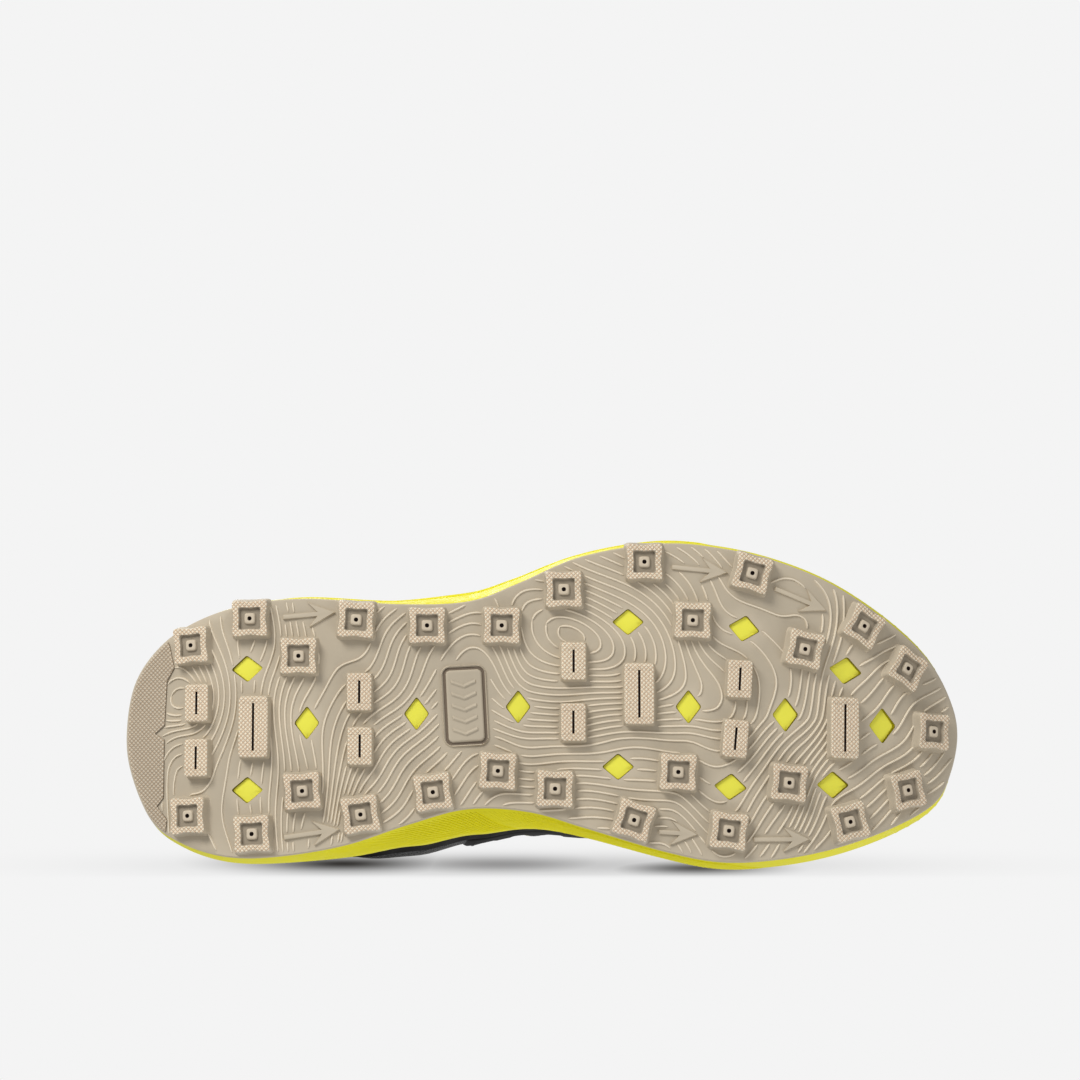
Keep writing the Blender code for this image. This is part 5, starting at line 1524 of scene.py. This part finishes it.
# ---- insole and boards --------------------------------------------------------------
def build_insole():
    m, r = 240, 26
    a = np.arange(m) * 2 / m
    p, n = outline(a)
    edge = p + n * (flare(a, p[:, 0]) - 5.5 - 5.6)[:, None]
    back_a = np.mod(2 - a, 2)
    q, nq = outline(back_a)
    other = q + nq * (flare(back_a, q[:, 0]) - 5.5 - 5.6)[:, None]
    mid_line = (edge + other) / 2
    share = np.linspace(0.0, 1, r) ** 0.8
    xy = mid_line[:, None] + (edge - mid_line)[:, None] * share[None, :, None]
    x = xy[..., 0]
    cup = 1.5 * np.clip(share - 0.7, 0, 1)[None, :] ** 2 / 0.09
    pad = 0.5 * np.exp(-(((x - 55) / 30) ** 2)) * np.cos(np.clip(share, 0, 1) * np.pi / 2)[None, :]
    z = FOOTBED(x) + 6.6 + 0.5 + cup + pad - 0.35 * (np.abs(share - 0.82) < 0.02)[None, :]
    top = np.concatenate([xy, z[..., None]], -1)
    low = np.concatenate([xy, (FOOTBED(x) + 6.2 + cup * 0.85)[..., None]], -1)
    uv = xy.reshape(m, r, 2)
    pts = np.concatenate([top.reshape(-1, 3), low.reshape(-1, 3)])
    faces = [grid_faces(m, r, wrap=True), grid_faces(m, r, m * r, True, True)]
    i = np.arange(m)
    faces.append(np.stack([i * r + r - 1, (i + 1) % m * r + r - 1, m * r + (i + 1) % m * r + r - 1, m * r + i * r + r - 1], -1))
    obj = mesh_object("insole_top", pts, [np.concatenate(faces)], np.concatenate([uv.reshape(-1, 2)] * 2), slots=[M["insole"]])
    tidy(obj, 0.02)
    done(obj, "shoe", "insole_cloth", "insole_cloth")


build_insole()
for node, mat in (("insole_foam", "open_foam"), ("strobel_board", "board"), ("toe_puff", "stiff"), ("heel_counter", "stiff"), ("vamp_lining", "lining")):
    slots_of = frame["nodes"][node].data.materials
    slots_of.clear()
    slots_of.append(M[mat])

# ---- upper ---------------------------------------------------------------------------
UPROWS = np.concatenate([np.linspace(-1, 0, 5)[:-1], np.linspace(0, 1, 44)])


def build_shells():
    k = np.concatenate([[20.03], np.arange(20.2, 30.01, 0.2)])[:, None]
    a, v = np.broadcast_arrays(k / STATIONS, UPROWS[None, :])
    n1, n2 = skin_normal(a, v), skin_normal(2 - a, v)
    ridge = n1[:, -1] + n2[:, -1]
    n1[:, -1] = n2[:, -1] = ridge / np.linalg.norm(ridge, axis=-1, keepdims=True)
    # the textile sinks a little between its stiffer ribs over the toes
    nearv = np.clip(v, 0, 1)
    ribs = 0.22 * np.cos(k * 2 * np.pi / 1.25) * np.clip((nearv - 0.35) / 0.2, 0, 1) * np.clip((29 - k) / 2, 0, 1)

    def at(depth, wave):
        return np.concatenate([skin(a, v) - n1 * (depth - wave)[..., None], (skin(2 - a, v) - n2 * (depth - wave)[..., None])[:, -2::-1]], 1)

    flat_d = np.zeros(a.shape)
    outer = at(flat_d, ribs)
    slab_obj = slab("vamp_textile", outer, at(flat_d + MESH, 0 * ribs), folded=True, uv=arc_uv(outer), slots=[M["mesh"]])
    done(slab_obj, "shoe", "upper_mesh", "vamp_mesh")
    for first, last, side in ((0, 19.97, "lateral"), (40.03, 60, "medial")):
        cols = np.linspace(first, last, 101)[:, None]
        aa, vv = np.broadcast_arrays(cols / STATIONS, UPROWS[None, :])
        outer = under(aa, vv, 0 * vv)
        obj = slab(f"quarter_textile_{side}", outer, under(aa, vv, MESH + 0 * vv), uv=arc_uv(outer), slots=[M["mesh"]])
        done(obj, "shoe", "upper_mesh", f"quarter_{side}")


build_shells()

LO = flat(0.035)
BUMPER_TOP = smooth((26, 0.30), (28, 0.46), (30, 0.62))
RAND_TOP = smooth((4, 0.2), (8, 0.17), (12, 0.14), (16, 0.16), (20, 0.24), (26, 0.30))
HEEL_TOP = smooth((0, 0.72), (4, 0.44))
STAY_LOW = smooth((13, 0.76), (16, 0.74), (19.9, 0.7))
BAND_LOW, BAND_TOP = smooth((12, 0.17), (16, 0.18), (20, 0.27)), smooth((13, 0.735), (16, 0.715), (20, 0.675))
LAP, FILM = 0.6, 1.2


def grooves(pitch, depth):
    """Raised moulded ribs across a piece."""
    return lambda near, share: depth * np.clip(np.cos(near * 2 * np.pi / pitch) * 3, -1, 1) * np.clip((0.5 - np.abs(share - 0.5)) * 7 - 0.6, 0, 1)


def hex_relief(near, share):
    return 0.28 * np.clip(np.cos(near * 2 * np.pi / 0.9) * np.cos(share * 2 * np.pi * 4.5) * 3, -1, 1) * np.clip((0.5 - np.abs(share - 0.5)) * 8 - 0.5, 0, 1)


def build_films():
    film_kw = dict(base=0.15, thick=1.55)
    done(patch("toe_cap_guard", 26, 34, LO, BUMPER_TOP, rows=40, step=0.1, puff=hex_relief, slots=[M["bumper"]], **film_kw), "shoe", "film", "toe_bumper")
    done(patch("rand_film_lateral", 4.2, 25.9, LO, RAND_TOP, rows=14, puff=grooves(0.7, 0.14), step=0.08, slots=[M["film"]], **film_kw), "shoe", "film", "rand_lateral")
    done(patch("rand_film_medial", 34.1, 55.8, LO, RAND_TOP, rows=14, puff=grooves(0.7, 0.14), step=0.08, slots=[M["film"]], **film_kw), "shoe", "film", "rand_medial")
    done(patch("heel_guard", -4, 4, LO, HEEL_TOP, rows=40, step=0.1, puff=hex_relief, slots=[M["film_grey"]], **film_kw), "shoe", "film", "heel_overlay")
    for side, a, b in (("lateral", 13, 19.85), ("medial", 40.15, 47)):
        done(patch(f"eyestay_film_{side}", a, b, STAY_LOW, flat(0.995), rows=24, step=0.08, slots=[M["film_grey"]], **film_kw), "shoe", "film", f"eyestay_{side}")
    for side, a, b in (("lateral", 13.2, 17.4), ("medial", 42.6, 46.8)):
        done(patch(f"saddle_band_{side}", a, b, BAND_LOW, BAND_TOP, rows=34, step=0.05, puff=grooves(0.84, 0.22), slots=[M["film"]], base=0.15, thick=0.85), "shoe", "film", f"side_band_{side}")


build_films()


def stitch_parts(path, normals, pitch=2.7, length=1.9, r=0.3):
    """Small capsules lying along a path."""
    run = np.concatenate([[0], np.cumsum(np.linalg.norm(np.diff(path, axis=0), axis=1))])
    at = np.arange(0.8, run[-1] - length, pitch)
    parts = []
    ring = 6
    th = np.arange(ring) * 2 * np.pi / ring
    prof = [(0.0, 0.35), (0.18, 0.85), (0.5, 1.0), (0.82, 0.85), (1.0, 0.35)]
    for s in at:
        p0 = np.array([np.interp(s, run, path[:, k]) for k in range(3)])
        p1 = np.array([np.interp(s + length, run, path[:, k]) for k in range(3)])
        nn = np.array([np.interp(s, run, normals[:, k]) for k in range(3)])
        d = (p1 - p0) / np.linalg.norm(p1 - p0)
        side = np.cross(d, nn)
        side /= np.linalg.norm(side)
        nn = np.cross(side, d)
        pts = []
        for t, q in prof:
            c = p0 + (p1 - p0) * t + nn * (0.22 * math.sin(math.pi * t) - 0.1)
            pts.append(c + r * q * (np.cos(th)[:, None] * side + 0.8 * np.sin(th)[:, None] * nn))
        pts = np.stack(pts, 1).reshape(-1, 3)
        rows = len(prof)
        cap = np.stack([np.arange(ring) * rows, np.roll(np.arange(ring), -1) * rows, np.full(ring, 0)], -1)[1:-1]
        end = cap[:, ::-1] + rows - 1
        parts.append((pts, [(grid_faces(ring, rows, wrap=True), 0), (cap, 0), (end, 0)]))
    return parts


def on_skin(k, v, lift):
    """A path over the upper at stations k and heights v, with its normals."""
    a = np.asarray(k, float) / STATIONS
    v = np.broadcast_to(np.asarray(v, float), a.shape)
    n = skin_normal(a, v)
    return skin(a, v) + n * lift, n


def build_stitches():
    dark, bright = [], []
    for s in (0, 1):
        flip = (lambda k: 60 - k) if s else (lambda k: k)
        k = np.linspace(13.3, 19.6, 160)
        for v in (STAY_LOW(k) + 0.018, STAY_LOW(k) + 0.045, np.full(k.shape, 0.955)):
            dark += stitch_parts(*on_skin(flip(k), v, 1.72))
        k = np.linspace(26.2, 29.98, 120)
        dark += stitch_parts(*on_skin(flip(k), BUMPER_TOP(k) - 0.018, 1.72))
        for kk in (13.45, 17.15):
            v = np.linspace(0.2, 0.70, 60)
            dark += stitch_parts(*on_skin(flip(np.full(60, kk)), v, 1.12))
        k = np.linspace(0.05, 3.8, 60)
        bright += stitch_parts(*on_skin(k if not s else 60 - k, HEEL_TOP(k) - 0.02, 1.75))
    obj = joined("overlay_stitching", dark, slots=[M["thread"]])
    tidy(obj, 0.0005)
    done(obj, "shoe", "lace")
    obj = joined("heel_stitching", bright, slots=[M["thread_yellow"]])
    tidy(obj, 0.0005)
    done(obj, "shoe", "lace")


build_stitches()


def build_binding():
    """Tape folded over the throat's edge, from collar to toe and back."""
    k = np.concatenate([np.linspace(13.2, 19.9, 150)])
    th = np.arange(12) * 2 * np.pi / 12
    section = np.stack([1.25 * np.cos(th), 1.75 * np.sin(th)], -1)
    for s, side in ((0, "lateral"), (1, "medial")):
        kk = 60 - k if s else k
        path, n = on_skin(kk, 0.99, 0.25)
        path[-6:] += 0 * path[-6:]
        obj = tube(f"throat_binding_{side}", path, section, normals=n, taper=None, slots=[M["binding"]])
        tidy(obj)
        done(obj, "shoe", "lining")


build_binding()

# ---- collar ----------------------------------------------------------------------------
PAD = smooth((0, 0.55), (3, 0.9), (6, 1), (9, 0.8), (12, 0.25), (13, 0.06))
RISE = smooth((0, 0.54), (6, 0.46), (9, 0.5), (13, 0.66))


def build_collar():
    cols = np.linspace(-13.3, 13.3, 267)
    k = np.abs(cols)
    a = cols / STATIONS
    C = len(cols)
    small = np.clip((13.3 - k) / 0.8, 0, 1) ** 0.5
    foam = lambda v: 6.4 * PAD(k) * np.clip(np.sin(np.pi * np.clip((v - RISE(k)) / (1 - RISE(k)) * 0.92, 0, 1)), 0, 1) ** 0.7
    channel = lambda v, c: 1.5 * np.exp(-(((v - c) / 0.02) ** 2)) * np.clip(PAD(k) * 1.6, 0, 1)
    top = skin(a, np.full(C, 1.0))
    rise_dir = top - skin(a, np.full(C, 0.96))
    rise_dir /= np.linalg.norm(rise_dir, axis=-1, keepdims=True)
    outer, inner = [], []

    def spot(v, depth, lift=0.0):
        return under(a, np.full(C, min(v, 1.0)), depth + 0 * k) + rise_dir * (lift + 0 * k)[:, None]

    out_thick = 1.5
    for v, t in ((0.865, 0.25), (0.868, 0.7), (0.876, 1.0), (0.9, 1.12), (0.925, 1.05), (0.935, 0.75), (0.945, 1.05), (0.965, 1.2), (0.985, 1.25)):
        outer.append(spot(v, -out_thick * t))
        inner.append(spot(v, -0.12))
    d_in = 3.5 + foam(0.999)
    half, centre = (d_in + out_thick * 1.25) / 2, (d_in - out_thick * 1.25) / 2
    for q in np.linspace(0, np.pi, 15):
        outer.append(spot(1.0, centre - half * math.cos(q), (2.0 + 1.2 * PAD(k)) * math.sin(q)))
        inner.append(spot(1.0, 0.7 - 0.82 * math.cos(q), 0.5 * math.sin(q)))
    vs = np.concatenate([np.linspace(0.985, 0.45, 44), np.linspace(0.42, -0.5, 14)])
    for v in vs:
        thin = np.clip((v - 0.5) / 0.08, 0, 1)
        outer.append(spot(v, 3.5 + 0.75 * (v < 2) + foam(v) - channel(v, RISE(k) + 0.27 * (1 - RISE(k))) - channel(v, RISE(k) + 0.62 * (1 - RISE(k)))))
        inner.append(spot(v, 1.45 * thin + 3.15 * (1 - thin)))
    O, I = np.stack(outer, 1), np.stack(inner, 1)
    # thin down towards the two front ends
    O = I + (O - I) * np.clip(small, 0.35, 1)[:, None, None]
    obj = slab("collar_padding", O, I, uv=arc_uv(O), slots=[M["lining"]])
    rows = [np.argmin(np.abs(vs - (np.mean(RISE(k)) + c * (1 - np.mean(RISE(k)))))) + 24 for c in (0.27, 0.62)]
    sewn = [I.reshape(-1, 3)[::7], O[:, :10].reshape(-1, 3)[::3], O[:, -14:].reshape(-1, 3)[::5]] + [O[:, r] for r in rows] + [O[0], O[-1]]
    stuff(obj, np.concatenate(sewn), 2.6, 1.6, 1000.0, 0.9)
    return obj


def stuff(obj, held, voxel, cap, pressure, held_to):
    """Cloth simulation of a padded piece: a coarse copy is blown up against its seams, and its swelling moves the mesh."""
    count = len(obj.data.vertices)
    fine = np.empty(count * 3)
    obj.data.vertices.foreach_get("co", fine)
    fine = fine.reshape(-1, 3)
    copy = bpy.data.objects.new(obj.name + "_sim", obj.data.copy())
    scene.collection.objects.link(copy)
    for o in bpy.context.view_layer.objects:
        o.select_set(False)
    bpy.context.view_layer.objects.active = copy
    copy.select_set(True)
    mesher = copy.modifiers.new("mesher", "REMESH")
    mesher.mode, mesher.voxel_size = "VOXEL", voxel * MM
    bpy.ops.object.modifier_apply(modifier="mesher")
    rest = np.empty(len(copy.data.vertices) * 3)
    copy.data.vertices.foreach_get("co", rest)
    rest = rest.reshape(-1, 3)
    seams = KDTree(len(held))
    for i, q in enumerate((held - ORIGIN) * MM):
        seams.insert(q, i)
    seams.balance()
    group = copy.vertex_groups.new(name="sewn")
    for i, q in enumerate(rest):
        gap = seams.find(q)[2] / MM
        group.add([i], 1.0 if gap < held_to else max(0.0, 1.0 - (gap - held_to) / 1.2), "REPLACE")
    cloth_mod = copy.modifiers.new("cloth", "CLOTH")
    cs = cloth_mod.settings
    cs.quality, cs.mass, cs.air_damping = 6, 0.004, 2.0
    cs.tension_stiffness = cs.compression_stiffness = cs.shear_stiffness = 3
    cs.bending_stiffness = 0.1
    cs.vertex_group_mass = "sewn"
    cs.use_pressure, cs.uniform_pressure_force = True, pressure
    cs.effector_weights.gravity = 0
    cloth_mod.collision_settings.use_collision = False
    cloth_mod.point_cache.frame_start, cloth_mod.point_cache.frame_end = 1, 20
    for k in range(1, 21):
        scene.frame_set(k)
    blown = copy.evaluated_get(bpy.context.evaluated_depsgraph_get()).to_mesh()
    after = np.empty(len(blown.vertices) * 3)
    blown.vertices.foreach_get("co", after)
    move = after.reshape(-1, 3) - rest
    size = np.linalg.norm(move, axis=1, keepdims=True)
    move *= cap * MM * np.tanh(size / (cap * MM)) / np.maximum(size, 1e-9)
    scene.frame_set(1)
    bpy.data.objects.remove(copy, do_unlink=True)
    tree = KDTree(len(rest))
    for i, q in enumerate(rest):
        tree.insert(q, i)
    tree.balance()
    for v, q in zip(obj.data.vertices, fine):
        total, weight = 0.0, 0.0
        for _, i, gap in tree.find_n(q, 6):
            w = 1 / (gap + 0.4 * MM) ** 2
            total, weight = total + w * move[i], weight + w
        v.co = q + total / weight
    obj.data.update()
    print(f"{obj.name}: cloth moved it {1000 * np.linalg.norm(move, axis=1).max():.2f} mm at most, {1000 * np.linalg.norm(move, axis=1).mean():.2f} mm on average")


# ---- tongue -----------------------------------------------------------------------------
def build_tongue():
    q = np.concatenate([np.linspace(0, 7.75, 175), [7.8, 7.85, 7.9, 7.94, 7.97, 7.99, 8.0]])[:, None]
    u = np.sin(np.linspace(-np.pi / 2, np.pi / 2, 61))[None, :]
    thick = TONGUE_THICK(q) * (1 - 0.55 * u**4)
    edge = np.clip(1 - np.abs(u), 0, 1) / 0.16
    side_round = np.sqrt(np.clip(1 - (1 - np.clip(edge, 0, 1)) ** 2, 0, 1))
    end = np.clip((8.0 - q) / 0.32, 0, 1)
    end_round = np.sqrt(np.clip(1 - (1 - end) ** 2, 0, 1))
    full = 0.12 + 0.88 * side_round * (0.15 + 0.85 * end_round)
    quilt = 0.0
    for c in (-0.46, 0.46):
        quilt = quilt + 1.3 * np.exp(-(((u - c) / 0.035) ** 2))
    for c in np.arange(4.9, 7.9, 0.45):
        quilt = quilt + 0.8 * np.exp(-(((q - c - 0.25 * u * u) / 0.035) ** 2)) * (np.abs(u) > 0.5)
    quilt = quilt * np.clip((7.8 - q) * 3, 0, 1) * np.clip(q - 0.3, 0, 1)
    puffed = 0.5 * np.sin(np.pi * np.clip((np.abs(u) - 0.46) / 0.54, 0, 1)) * (np.abs(u) > 0.46)
    outer = tongue_point(q, u, thick * 0.5 * (1 - full) + quilt * side_round * 0.8 - puffed * 0.6)
    inner = tongue_point(q, u, thick * (0.5 + 0.5 * full) - quilt * side_round * 0.4)
    obj = slab("tongue_padding", outer, inner, uv=arc_uv(outer), slots=[M["tongue"]])
    sewn = [g[:, i] for g in (outer, inner) for i in (0, 14, 15, 45, 46, 60)] + [g[r] for g in (outer, inner) for r in (0, 4, 8, -1, -4)]
    sewn.append(outer[127:162:3, 19:42:3].reshape(-1, 3))  # under the badge
    stuff(obj, np.concatenate(sewn), 2.2, 1.1, 1000.0, 1.0)
    return obj


def tongue_edge():
    """Bound edge of the tongue, round its free end."""
    q1, q2 = np.linspace(0.6, 7.7, 120), np.linspace(7.7, 8.0, 8)
    u_end = np.sin(np.linspace(np.pi / 2, -np.pi / 2, 40))
    Q = np.concatenate([q1, np.full(40, 7.93) + 0.05 * np.cos(np.linspace(-np.pi / 2, np.pi / 2, 40)), q1[::-1]])
    U = np.concatenate([np.ones(120), u_end, -np.ones(120)])
    thick = TONGUE_THICK(Q) * (1 - 0.55 * U**4)
    path = tongue_point(Q, U * 0.985, thick * 0.5)
    for _ in range(6):
        path[1:-1] = (path[:-2] + 2 * path[1:-1] + path[2:]) / 4
    nrm = tongue_point(Q, U * 0.985, thick * 0.5 - 1) - tongue_point(Q, U * 0.985, thick * 0.5)
    th = np.arange(10) * 2 * np.pi / 10
    section = np.stack([1.0 * np.cos(th), 1.5 * np.sin(th)], -1)
    return tube("tongue_binding", path, section, normals=nrm, slots=[M["binding"]])


def build_tongue_patch():
    q = 5.75 + 1.35 * np.concatenate([[0, 0.01, 0.03, 0.06], np.linspace(0.09, 0.91, 90), [0.94, 0.97, 0.99, 1]])[:, None]
    u = 0.5 * np.concatenate([[-1, -0.985, -0.955, -0.92], np.linspace(-0.88, 0.88, 70), [0.92, 0.955, 0.985, 1]])[None, :]
    s, t = (q - 5.75) / 1.35 * 2 - 1, u / 0.5
    r = (np.abs(s) ** 9 + np.abs(t) ** 9) ** (1 / 9)
    h = 0.95 * np.clip((1 - r) / 0.09, 0, 1) ** 0.45
    h -= 0.28 * np.exp(-(((r - 0.82) / 0.022) ** 4))
    inner = np.clip((0.74 - r) / 0.06, 0, 1)
    for c in (-0.55, -0.2, 0.15):
        h += 0.3 * inner * np.exp(-(((s - c - 0.34 * (1 - np.abs(t) / 0.62)) / 0.055) ** 4)) * (np.abs(t) < 0.66)
    scale = 1 - 0.045 * (np.abs(s) ** 12 * np.abs(t) ** 12)
    uu, qq = u * scale, 5.75 + (s * scale + 1) / 2 * 1.35
    outer = tongue_point(qq, uu, -0.35 - h)
    return slab("tongue_badge", outer, tongue_point(qq, uu, -0.12 + 0 * h), uv=arc_uv(outer), slots=[M["patch"]])


def pose_tongue():
    hinge = (tongue_point(HINGE_Q, 0.0, 3.0) - ORIGIN) * MM
    ahead = (tongue_point(HINGE_Q - 0.28, 0.0, 3.0) - ORIGIN) * MM
    behind = (tongue_point(HINGE_Q + 0.28, 0.0, 3.0) - ORIGIN) * MM
    pad_obj = build_tongue()
    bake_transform(pad_obj)
    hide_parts("tongue_lower", "tongue_upper")
    edge = tongue_edge()
    tidy(edge)
    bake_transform(edge)
    done(build_tongue_patch(), "tongue_end", "patch", "tongue_patch")


pose_tongue()
collar = build_collar()
done(collar, "shoe", "lining", "collar_foam", "collar_lining")

# ---- lace, aglets and eyelets ---------------------------------------------------------------
def build_lace():
    path = spline(lace_route(), 0.75)
    sides = 16
    th = np.arange(sides) * 2 * np.pi / sides
    run = np.concatenate([[0], np.cumsum(np.linalg.norm(np.diff(path, axis=0), axis=1))])
    # braid: two families of yarns wind round the cord
    ph = run[:, None] * 2 * np.pi / 3.0
    braid = np.maximum(np.cos(ph + 4 * th[None, :]), np.cos(ph - 4 * th[None, :]))
    rad = LACE_R * (0.98 + 0.055 * braid)
    section = np.stack([rad * np.cos(th), rad * np.sin(th)], -1)
    obj = tube("round_lace", path, section, slots=[M["lace"]])
    tidy(obj)
    done(obj, "shoe", "lace", "lace")
    knot, fwd, upk = knot_frame()
    q = np.linspace(0.35, 2 * np.pi + 0.1, 60)
    centre = knot + fwd * 1.4 + upk * 2.0
    wrap = centre + (fwd * 4.4)[None] * np.cos(q)[:, None] + (upk * 3.9)[None] * np.sin(q)[:, None] + np.array([0, 1.0, 0])[None] * np.linspace(-1.5, 1.5, 60)[:, None]
    section = np.stack([1.02 * LACE_R * np.cos(th), 1.02 * LACE_R * np.sin(th)], -1)
    obj = tube("lace_knot_wrap", wrap, section, slots=[M["lace"]])
    tidy(obj)
    done(obj, "shoe", "lace")
    for name, end, before in (("medial", path[0], path[2]), ("lateral", path[-1], path[-3])):
        d = (end - before) / np.linalg.norm(end - before)
        t = np.array([-2.0, -1.9, -0.4, 0.3, 0.8, 7.6, 8.5, 8.9, 9.0])
        r = np.array([1.5, 1.75, 1.78, 1.72, 1.58, 1.5, 1.35, 0.9, 0.3])
        pts = end + d * t[:, None]
        sec = r[:, None, None] * np.stack([np.cos(th), np.sin(th)], -1)[None]
        obj = tube(f"lace_tip_{name}", pts, sec, slots=[M["aglet"]])
        tidy(obj)
        done(obj, "shoe", "aglet", f"aglet_{name}")


def build_eyelets():
    prof = [(2.25, -1.0), (2.3, 0.25), (2.45, 0.75), (2.8, 1.05), (3.3, 1.12), (3.8, 0.95), (4.15, 0.6), (4.25, 0.2), (4.2, -0.4)]
    parts = []
    seg = 32
    for side in (-1, 1):
        for k in range(len(EYELETS)):
            c, n, e = eyelet_frame(side, k)
            f = np.cross(n, e)
            th = np.arange(seg) * 2 * np.pi / seg
            rad = np.cos(th)[:, None] * e + np.sin(th)[:, None] * f
            pts = np.stack([c + rad * r + n * h for r, h in prof], 1).reshape(-1, 3)
            rows = len(prof)
            i = np.arange(seg)
            close = np.stack([i * rows + rows - 1, (i + 1) % seg * rows + rows - 1, (i + 1) % seg * rows, i * rows], -1)
            # painted shade: a near-black disc closes each eyelet's hole
            shade_disc = np.concatenate([c + rad * 2.25 - n * 0.15, c[None] - n * 0.2, c + rad * 2.25 - n * 0.9, c[None] - n * 0.9])
            b = len(pts)
            fan = np.stack([b + i, b + (i + 1) % seg, np.full(seg, b + seg)], -1)
            fan2 = np.stack([b + seg + 1 + (i + 1) % seg, b + seg + 1 + i, np.full(seg, b + 2 * seg + 1)], -1)
            belt = np.stack([b + i, b + (i + 1) % seg, b + seg + 1 + (i + 1) % seg, b + seg + 1 + i], -1)
            parts.append((np.concatenate([pts, shade_disc]), [(grid_faces(seg, rows, wrap=True), 0), (close, 0), (belt, 1), (fan, 1), (fan2, 1)]))
    obj = joined("eyelet_rings", parts, slots=[M["eyelet"], M["rubber_dark"]])
    tidy(obj, 0.0005)
    done(obj, "shoe", "eyelet", *[f"eyelet_{s}_{k + 1}" for s in ("lateral", "medial") for k in range(6)])


build_lace()
build_eyelets()

# ---- heel pull tab ---------------------------------------------------------------------------
LOOP_OUT = [(0, 0), (0.4, 8), (0.4, 23), (1.6, 27.4), (4.8, 29), (8, 27.4), (9, 23), (8, 11), (4.2, 2), (3.2, 0)]
LOOP_IN = [(1.4, 4.4), (1.9, 9), (1.9, 23), (2.7, 26), (4.8, 27.4), (6.9, 26), (7.5, 22.6), (6.5, 12), (3.0, 5.4), (2.2, 4)]


def build_tab():
    base = skin(np.array(0.0), np.array(0.80)) + np.array([-0.6, 0, 0])
    lean = skin(np.array(0.0), np.array(0.98)) - skin(np.array(0.0), np.array(0.80))
    lean /= np.linalg.norm(lean)
    rear = np.array([-lean[2], 0, lean[0]])
    if rear[0] > 0:
        rear = -rear
    n = 120
    t = np.linspace(0, len(LOOP_OUT), n, endpoint=False)

    def loop(points):
        p = closed_curve(np.array(points, float), 12)
        s = np.linspace(0, len(p), n, endpoint=False)
        w = np.arange(len(p) + 1)
        p = np.concatenate([p, p[:1]])
        return np.stack([np.interp(s, w, p[:, k]) for k in (0, 1)], -1)

    lo, li = loop(LOOP_OUT), loop(LOOP_IN)
    ys = 7.5 * np.concatenate([[-1, -0.985, -0.94, -0.87], np.linspace(-0.8, 0.8, 15), [0.87, 0.94, 0.985, 1]])
    pinch = np.array([0.55, 0.25, 0.06, 0] + [0] * 15 + [0, 0.06, 0.25, 0.55])
    mid_l = (lo + li) / 2
    O = lo[None] + (mid_l - lo)[None] * pinch[:, None, None]
    I = li[None] + (mid_l - li)[None] * pinch[:, None, None]
    place = lambda g: base + rear * g[..., :1] + lean * g[..., 1:] + np.array([0, 1.0, 0]) * ys[:, None, None]
    Y = len(ys)
    pts = np.concatenate([place(O).reshape(-1, 3), place(I).reshape(-1, 3)])
    m = Y * n
    run = np.concatenate([[0], np.cumsum(np.linalg.norm(np.diff(lo, axis=0), axis=1))])
    uv = np.stack(np.broadcast_arrays(run[None, :], ys[:, None]), -1).reshape(-1, 2)
    i, j = np.meshgrid(np.arange(Y - 1), np.arange(n), indexing="ij")
    j2 = (j + 1) % n
    g = np.stack([i * n + j, i * n + j2, (i + 1) * n + j2, (i + 1) * n + j], -1).reshape(-1, 4)
    k = np.arange(n)
    k2 = (k + 1) % n
    ends = [np.stack([k, m + k, m + k2, k2], -1), np.stack([(Y - 1) * n + k, (Y - 1) * n + k2, m + (Y - 1) * n + k2, m + (Y - 1) * n + k], -1)]
    obj = mesh_object("pull_tab_webbing", pts, [np.concatenate([g, g[:, ::-1] + m] + ends)], np.concatenate([uv, uv]), sharp=60, slots=[M["webbing"]])
    tidy(obj)
    done(obj, "pull_tab", "webbing", "heel_pull_tab")
    parts = []
    for y in (-5.6, 5.6):
        h = np.linspace(2.5, 26, 60)
        back_at = np.interp(h, [p[1] for p in LOOP_OUT[-2:3:-1]], [p[0] for p in LOOP_OUT[-2:3:-1]])
        path = base + rear * back_at[:, None] + lean * h[:, None] + np.array([0, y, 0])
        parts += stitch_parts(path, np.tile(rear, (60, 1)), 2.4, 1.7, 0.26)
    obj = joined("pull_tab_stitching", parts, slots=[M["thread"]])
    tidy(obj, 0.0005)
    done(obj, "pull_tab", "lace")


build_tab()
